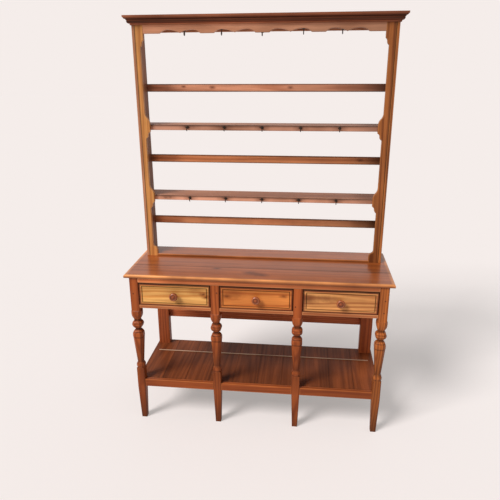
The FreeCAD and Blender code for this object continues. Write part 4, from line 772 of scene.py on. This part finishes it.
def cornice_section():
    """Section as (out, up) from the foot at the wall to the top, with arcs for the coves and the bead."""
    plain = ((0.0, 0.0), (0.16, 0.0), (0.16, 0.14), (0.24, 0.16), (0.50, 0.50), (0.58, 0.50),
             (0.58, 0.60), (0.66, 0.62), (0.92, 0.80), (1.0, 0.80), (1.0, 1.0), (0.0, 1.0))
    coves, bead = (3, 7), 5
    steps = []
    for number, (out, up) in enumerate(plain):
        step = (out * CORNICE_OUT, up * CORNICE_TALL)
        if number in coves:
            over, rise = plain[number + 1][0] - out, plain[number + 1][1] - up
            step += (reach(rise * CORNICE_TALL, over * CORNICE_OUT) * 1.01, 1)
        elif number == bead:
            step += ((plain[number + 1][1] - up) * CORNICE_TALL * 0.62, 1)
        steps.append(step)
    return outline(steps)


def cornice_run(start, end):
    """The section carried from one end, given for each of its points, to the other, with a flat cap at
    each."""
    count = len(start)
    part = np.linspace(0.0, 1.0, CORNICE_STATIONS)[:, None, None]
    points = (start[None] * (1 - part) + end[None] * part).reshape(-1, 3)
    index = np.arange(CORNICE_STATIONS * count).reshape(CORNICE_STATIONS, count)
    ahead = np.roll(index, -1, axis=1)
    quads = np.stack([index[:-1], index[1:], ahead[1:], ahead[:-1]], axis=-1).reshape(-1, 4)
    return points, quads.tolist() + [index[0].tolist(), index[-1, ::-1].tolist()]


cornice_pine = waxed_pine("cornice_pine", (146, 80, 50), (106, 52, 30), (64, 26, 12), rubbed_and_lit=(186, 116, 82),
                          ring=26.0, figure=0.6, rough=0.45)
section = cornice_section()
out, up = section[:, 0], section[:, 1] + CORNICE_FOOT
height = section[:, 1] / CORNICE_TALL
# Along the section: rub on the edges, painted light on the lower fillet, painted shade in the coves.
rub_and_highlight_line = np.interp(height, [0.0, 0.05, 0.14, 0.17, 0.40, 0.44, 0.52, 0.56, 0.68, 0.72, 1.0],
                     [1.0, 1.7, 1.7, 0.1, 0.0, 0.6, 0.6, 0.0, 0.0, 0.6, 0.35])
fillet_light_line = np.interp(height, [0.14, 0.17], [0.8, 0.0])
cove_shade_line = np.interp(height, [0.0, 0.05, 0.14, 0.18, 0.30, 0.33, 0.40, 0.44, 0.52, 0.56, 0.66, 0.72],
                      [0.3, 0.0, 0.0, 0.2, 0.3, 0.8, 0.8, 0.1, 0.2, 0.6, 0.6, 0.0])
left_mitre = np.stack([-CORNICE_HALF - out, CORNICE_FACE - out, up], axis=1)
right_mitre = left_mitre * (-1, 1, 1)
left_end = np.stack([-CORNICE_HALF - out, np.full_like(out, CORNICE_BACK), up], axis=1)
right_end = left_end * (-1, 1, 1)
for node, start, end, along, seed in (("cornice_front", left_mitre, right_mitre, 0, 81.0),
                                      ("cornice_left", left_end, left_mitre, 1, 82.0),
                                      ("cornice_right", right_mitre, right_end, 1, 83.0)):
    points, faces = cornice_run(start, end)
    rub_and_highlight, tone, dirt_and_shade = (np.tile(line, CORNICE_STATIONS) for line in (rub_and_highlight_line, fillet_light_line, cove_shade_line))
    add_piece(node, points, faces, cornice_pine, along=along, seed=seed,
              tone=tone - np.interp(points[:, 0], [0.0, 0.6], [0.0, 0.7]),
              wear_and_highlight=rub_and_highlight * np.interp(points[:, 0], [-0.1, 0.35], [1.0, 0.35]), grime_and_shade=dirt_and_shade, sharp=30.0)


# Cup hooks: fifteen small hooks of dulled brass wire with a round plate, five screwed into the front edge of
# each shelf and five up into the frieze.
def dulled_metal(name):
    """Brass gone brown: two browns in patches, smoother and rougher with them, on a finely dented skin."""
    material, tree = blank_material(name)
    place = shade(tree, "TexCoord").outputs["Object"]
    patch = shade(tree, "TexNoise", {"Vector": place, "Scale": 220.0, "Detail": 3.0}).outputs["Fac"]
    colour = blend_in(tree, tint((38, 27, 20)), tint((92, 62, 38)), ramp(tree, patch, 0.5, 0.8))
    bump = shade(tree, "Bump", {"Strength": 0.3, "Distance": 0.0003, "Height": patch}).outputs[0]
    surface = shade(tree, "BsdfPrincipled", {"Base Color": colour, "Metallic": 0.6, "Normal": bump,
                                             "Roughness": ramp(tree, patch, 0.3, 0.7, 0.55, 0.38)})
    shade(tree, "OutputMaterial", {"Surface": surface.outputs[0]})
    return material


def hook_wire(sweep, neck):
    """One hook at the origin, pointing along -Y: a round wire follows a straight neck and then a circle down
    and round; its end is drawn to a point of half the wire. The plate is a low turned disc."""
    bend, wire, sides = 0.008, 0.0021, 12
    angle = np.radians(np.linspace(0.0, sweep, 22))
    path = np.concatenate([np.array([[0.0, 0.0], [-neck * 0.5, 0.0]]),
                           np.stack([-neck - bend * np.sin(angle), bend * np.cos(angle) - bend], axis=1)])
    way = np.gradient(path, axis=0)
    way /= np.linalg.norm(way, axis=1, keepdims=True)
    thick = np.concatenate([np.full(len(path) - 3, wire), wire * np.array([0.95, 0.8, 0.45])])
    turn = np.linspace(0.0, 2 * math.pi, sides + 1)[:-1]
    side = np.stack([-way[:, 1], way[:, 0]], axis=1)
    points = np.stack([np.cos(turn)[None] * thick[:, None],
                       path[:, :1] + side[:, :1] * np.sin(turn) * thick[:, None],
                       path[:, 1:] + side[:, 1:] * np.sin(turn) * thick[:, None]], axis=-1)
    disc = np.array([[0.0070, 0.0], [0.0070, 0.0008], [0.0056, 0.0014], [0.0022, 0.0017]])
    faces = [face[::-1] for face in tube_faces(len(path), sides)]
    faces += tube_faces(len(disc), sides, start=len(path) * sides)
    return np.concatenate([points.reshape(-1, 3), spun(disc, sides)]), faces


FRIEZE_HOOK_DEPTH = 0.0865
hooks = []
for level in HOOK_LEVELS:
    for step in HOOK_STEPS:
        points, faces = hook_wire(200.0, 0.006)
        hooks.append((points + (HOOK_PITCH * step, HOOK_FACE, level), faces))
for across, level, neck in ((-0.353, 1.8775, 0.0099), (-0.183, 1.8836, 0.016), (0.0, 1.869, 0.006),
                            (0.183, 1.8836, 0.016), (0.353, 1.8775, 0.0099)):
    points, faces = hook_wire(215.0, neck)
    hooks.append((points[:, [0, 2, 1]] + (across, FRIEZE_HOOK_DEPTH, level), [face[::-1] for face in faces]))
starts = np.cumsum([0] + [len(points) for points, faces in hooks]).tolist()
hook_faces = [[number + start for number in face] for (points, faces), start in zip(hooks, starts)
              for face in faces]
add_piece("cup_hooks", np.concatenate([points for points, faces in hooks]), hook_faces,
          dulled_metal("dulled_brass"), name="cup_hooks_wire")


# Pegs: ends of the oak pegs that draw the tenons tight, driven through the blocks of the front legs and cut
# off just proud of them. Darker than the pine; each is a low dome.
PEG_SIDES, BLOCK_FACE = 16, -0.1995
peg_wood = waxed_pine("peg_wood", (112, 56, 30), (84, 40, 22), (60, 28, 16), ring=80.0, figure=0.5,
                      streaks=0.3)
dome = np.array([[0.0036, -0.0012], [0.0036, 0.0001], [0.0028, 0.0005], [0.0012, 0.0007]])
peg_faces = tube_faces(len(dome), PEG_SIDES)
for number, (across, up) in enumerate(((-0.590, 0.702), (-0.186, 0.722), (0.184, 0.668), (0.590, 0.716),
                                       (0.588, 0.655))):
    add_piece(None, spun(dome, PEG_SIDES) + (across, BLOCK_FACE, up), peg_faces, peg_wood,
              name="peg_{}".format(number), along=1, seed=90.0 + number)


# Stage: a pale matt floor that keeps the shadow, an even sky of the same colour, one soft sun from the left
# front and the camera. Seen directly or in a gloss, floor and sky have the colour of pale paper.
PAPER = tint((245, 237, 234))
SUN, SUN_COLOUR, SUN_SPREAD = 2.9, np.array([1.0, 0.97, 0.93]), 22.0
SUN_LEFT, SUN_FRONT, SUN_HEIGHT, SUN_PLACE = -0.52, -0.50, 0.69, (0.0, 0.0, 4.0)
SKY, SKY_COLOUR = 0.30, np.array([1.0, 0.98, 0.96])
FLOOR, FLOOR_HALF = np.array([0.625, 0.580, 0.585]), 40


def seen_directly(tree):
    """1 for rays from the camera, in a gloss or through glass, and 0 for the light on the object."""
    rays = shade(tree, "LightPath").outputs
    mirrored = combine(tree, rays["Is Camera Ray"], rays["Is Glossy Ray"], "MAXIMUM")
    return combine(tree, mirrored, rays["Is Transmission Ray"], "MAXIMUM")


def paper_floor(name, diffuse, lift):
    """Matt floor; seen by the camera or in a gloss it is lifted to the colour of the backdrop."""
    material, tree = blank_material(name)
    seen = seen_directly(tree)
    matt = shade(tree, "BsdfDiffuse", {"Color": diffuse}).outputs[0]
    glow = shade(tree, "Emission", {"Color": lift, "Strength": seen}).outputs[0]
    both = shade(tree, "AddShader", {0: matt, 1: glow}).outputs[0]
    shade(tree, "OutputMaterial", {"Surface": both})
    return material


open_floor = FLOOR * (SUN * SUN_HEIGHT / math.pi * SUN_COLOUR + SKY * SKY_COLOUR)
lift = np.array(PAPER[:3]) - open_floor
floor_mesh = bpy.data.meshes.new("floor")
floor_mesh.from_pydata([(-FLOOR_HALF, -FLOOR_HALF, 0), (FLOOR_HALF, -FLOOR_HALF, 0),
                        (FLOOR_HALF, FLOOR_HALF, 0), (-FLOOR_HALF, FLOOR_HALF, 0)], [], [(0, 1, 2, 3)])
floor_mesh.materials.append(paper_floor("paper_floor", (*FLOOR.tolist(), 1.0), (*lift.tolist(), 1.0)))
floor = bpy.data.objects.new("floor", floor_mesh)
bpy.context.collection.objects.link(floor)

world = bpy.data.worlds.new("even_sky")
world.use_nodes = True
tree = world.node_tree
tree.nodes.clear()
seen = seen_directly(tree)
sky = shade(tree, "Background", {"Color": (*SKY_COLOUR.tolist(), 1.0), "Strength": SKY}).outputs[0]
paper = shade(tree, "Background", {"Color": PAPER, "Strength": 1.0}).outputs[0]
shown = shade(tree, "MixShader", {0: seen, 1: sky, 2: paper}).outputs[0]
shade(tree, "OutputWorld", {"Surface": shown})
bpy.context.scene.world = world


def stand(item, right, above, behind, place):
    """Sets up a light or the camera at a place, by the directions of its right, its top and its back."""
    rows = np.column_stack([right, above, behind, place]).tolist()
    item.matrix_world = Matrix(rows + [[0.0, 0.0, 0.0, 1.0]])
    bpy.context.collection.objects.link(item)


sun = bpy.data.objects.new("soft_sun", bpy.data.lights.new("soft_sun", "SUN"))
sun.data.energy = SUN
sun.data.angle = math.radians(SUN_SPREAD)
sun.data.color = SUN_COLOUR.tolist()
towards = np.array([SUN_LEFT, SUN_FRONT, SUN_HEIGHT])
towards = towards / np.linalg.norm(towards)
side = np.cross((0.0, 0.0, 1.0), towards)
side = side / np.linalg.norm(side)
stand(sun, side, np.cross(towards, side), towards, SUN_PLACE)

CAMERA_PLACE = (0.2192, -2.4088, 1.7006)
PICTURE_WIDE, FOCAL, SENSOR = 500.0, 519.83, 36.0
yaw, pitch, roll = (math.radians(value) for value in (6.366, 18.858, -0.2156))
ahead = np.array([-math.sin(yaw) * math.cos(pitch), math.cos(yaw) * math.cos(pitch), -math.sin(pitch)])
level = np.array([math.cos(yaw), math.sin(yaw), 0.0])
plumb = np.cross(level, ahead)
right = level * math.cos(roll) + plumb * math.sin(roll)
above = plumb * math.cos(roll) - level * math.sin(roll)
camera = bpy.data.objects.new("camera", bpy.data.cameras.new("camera"))
camera.data.sensor_width = SENSOR
camera.data.sensor_fit = "HORIZONTAL"
camera.data.lens = SENSOR * FOCAL / PICTURE_WIDE
camera.data.clip_end = 200.0
stand(camera, right, above, -ahead, CAMERA_PLACE)
bpy.context.scene.camera = camera
bpy.context.scene.view_settings.view_transform = "Standard"
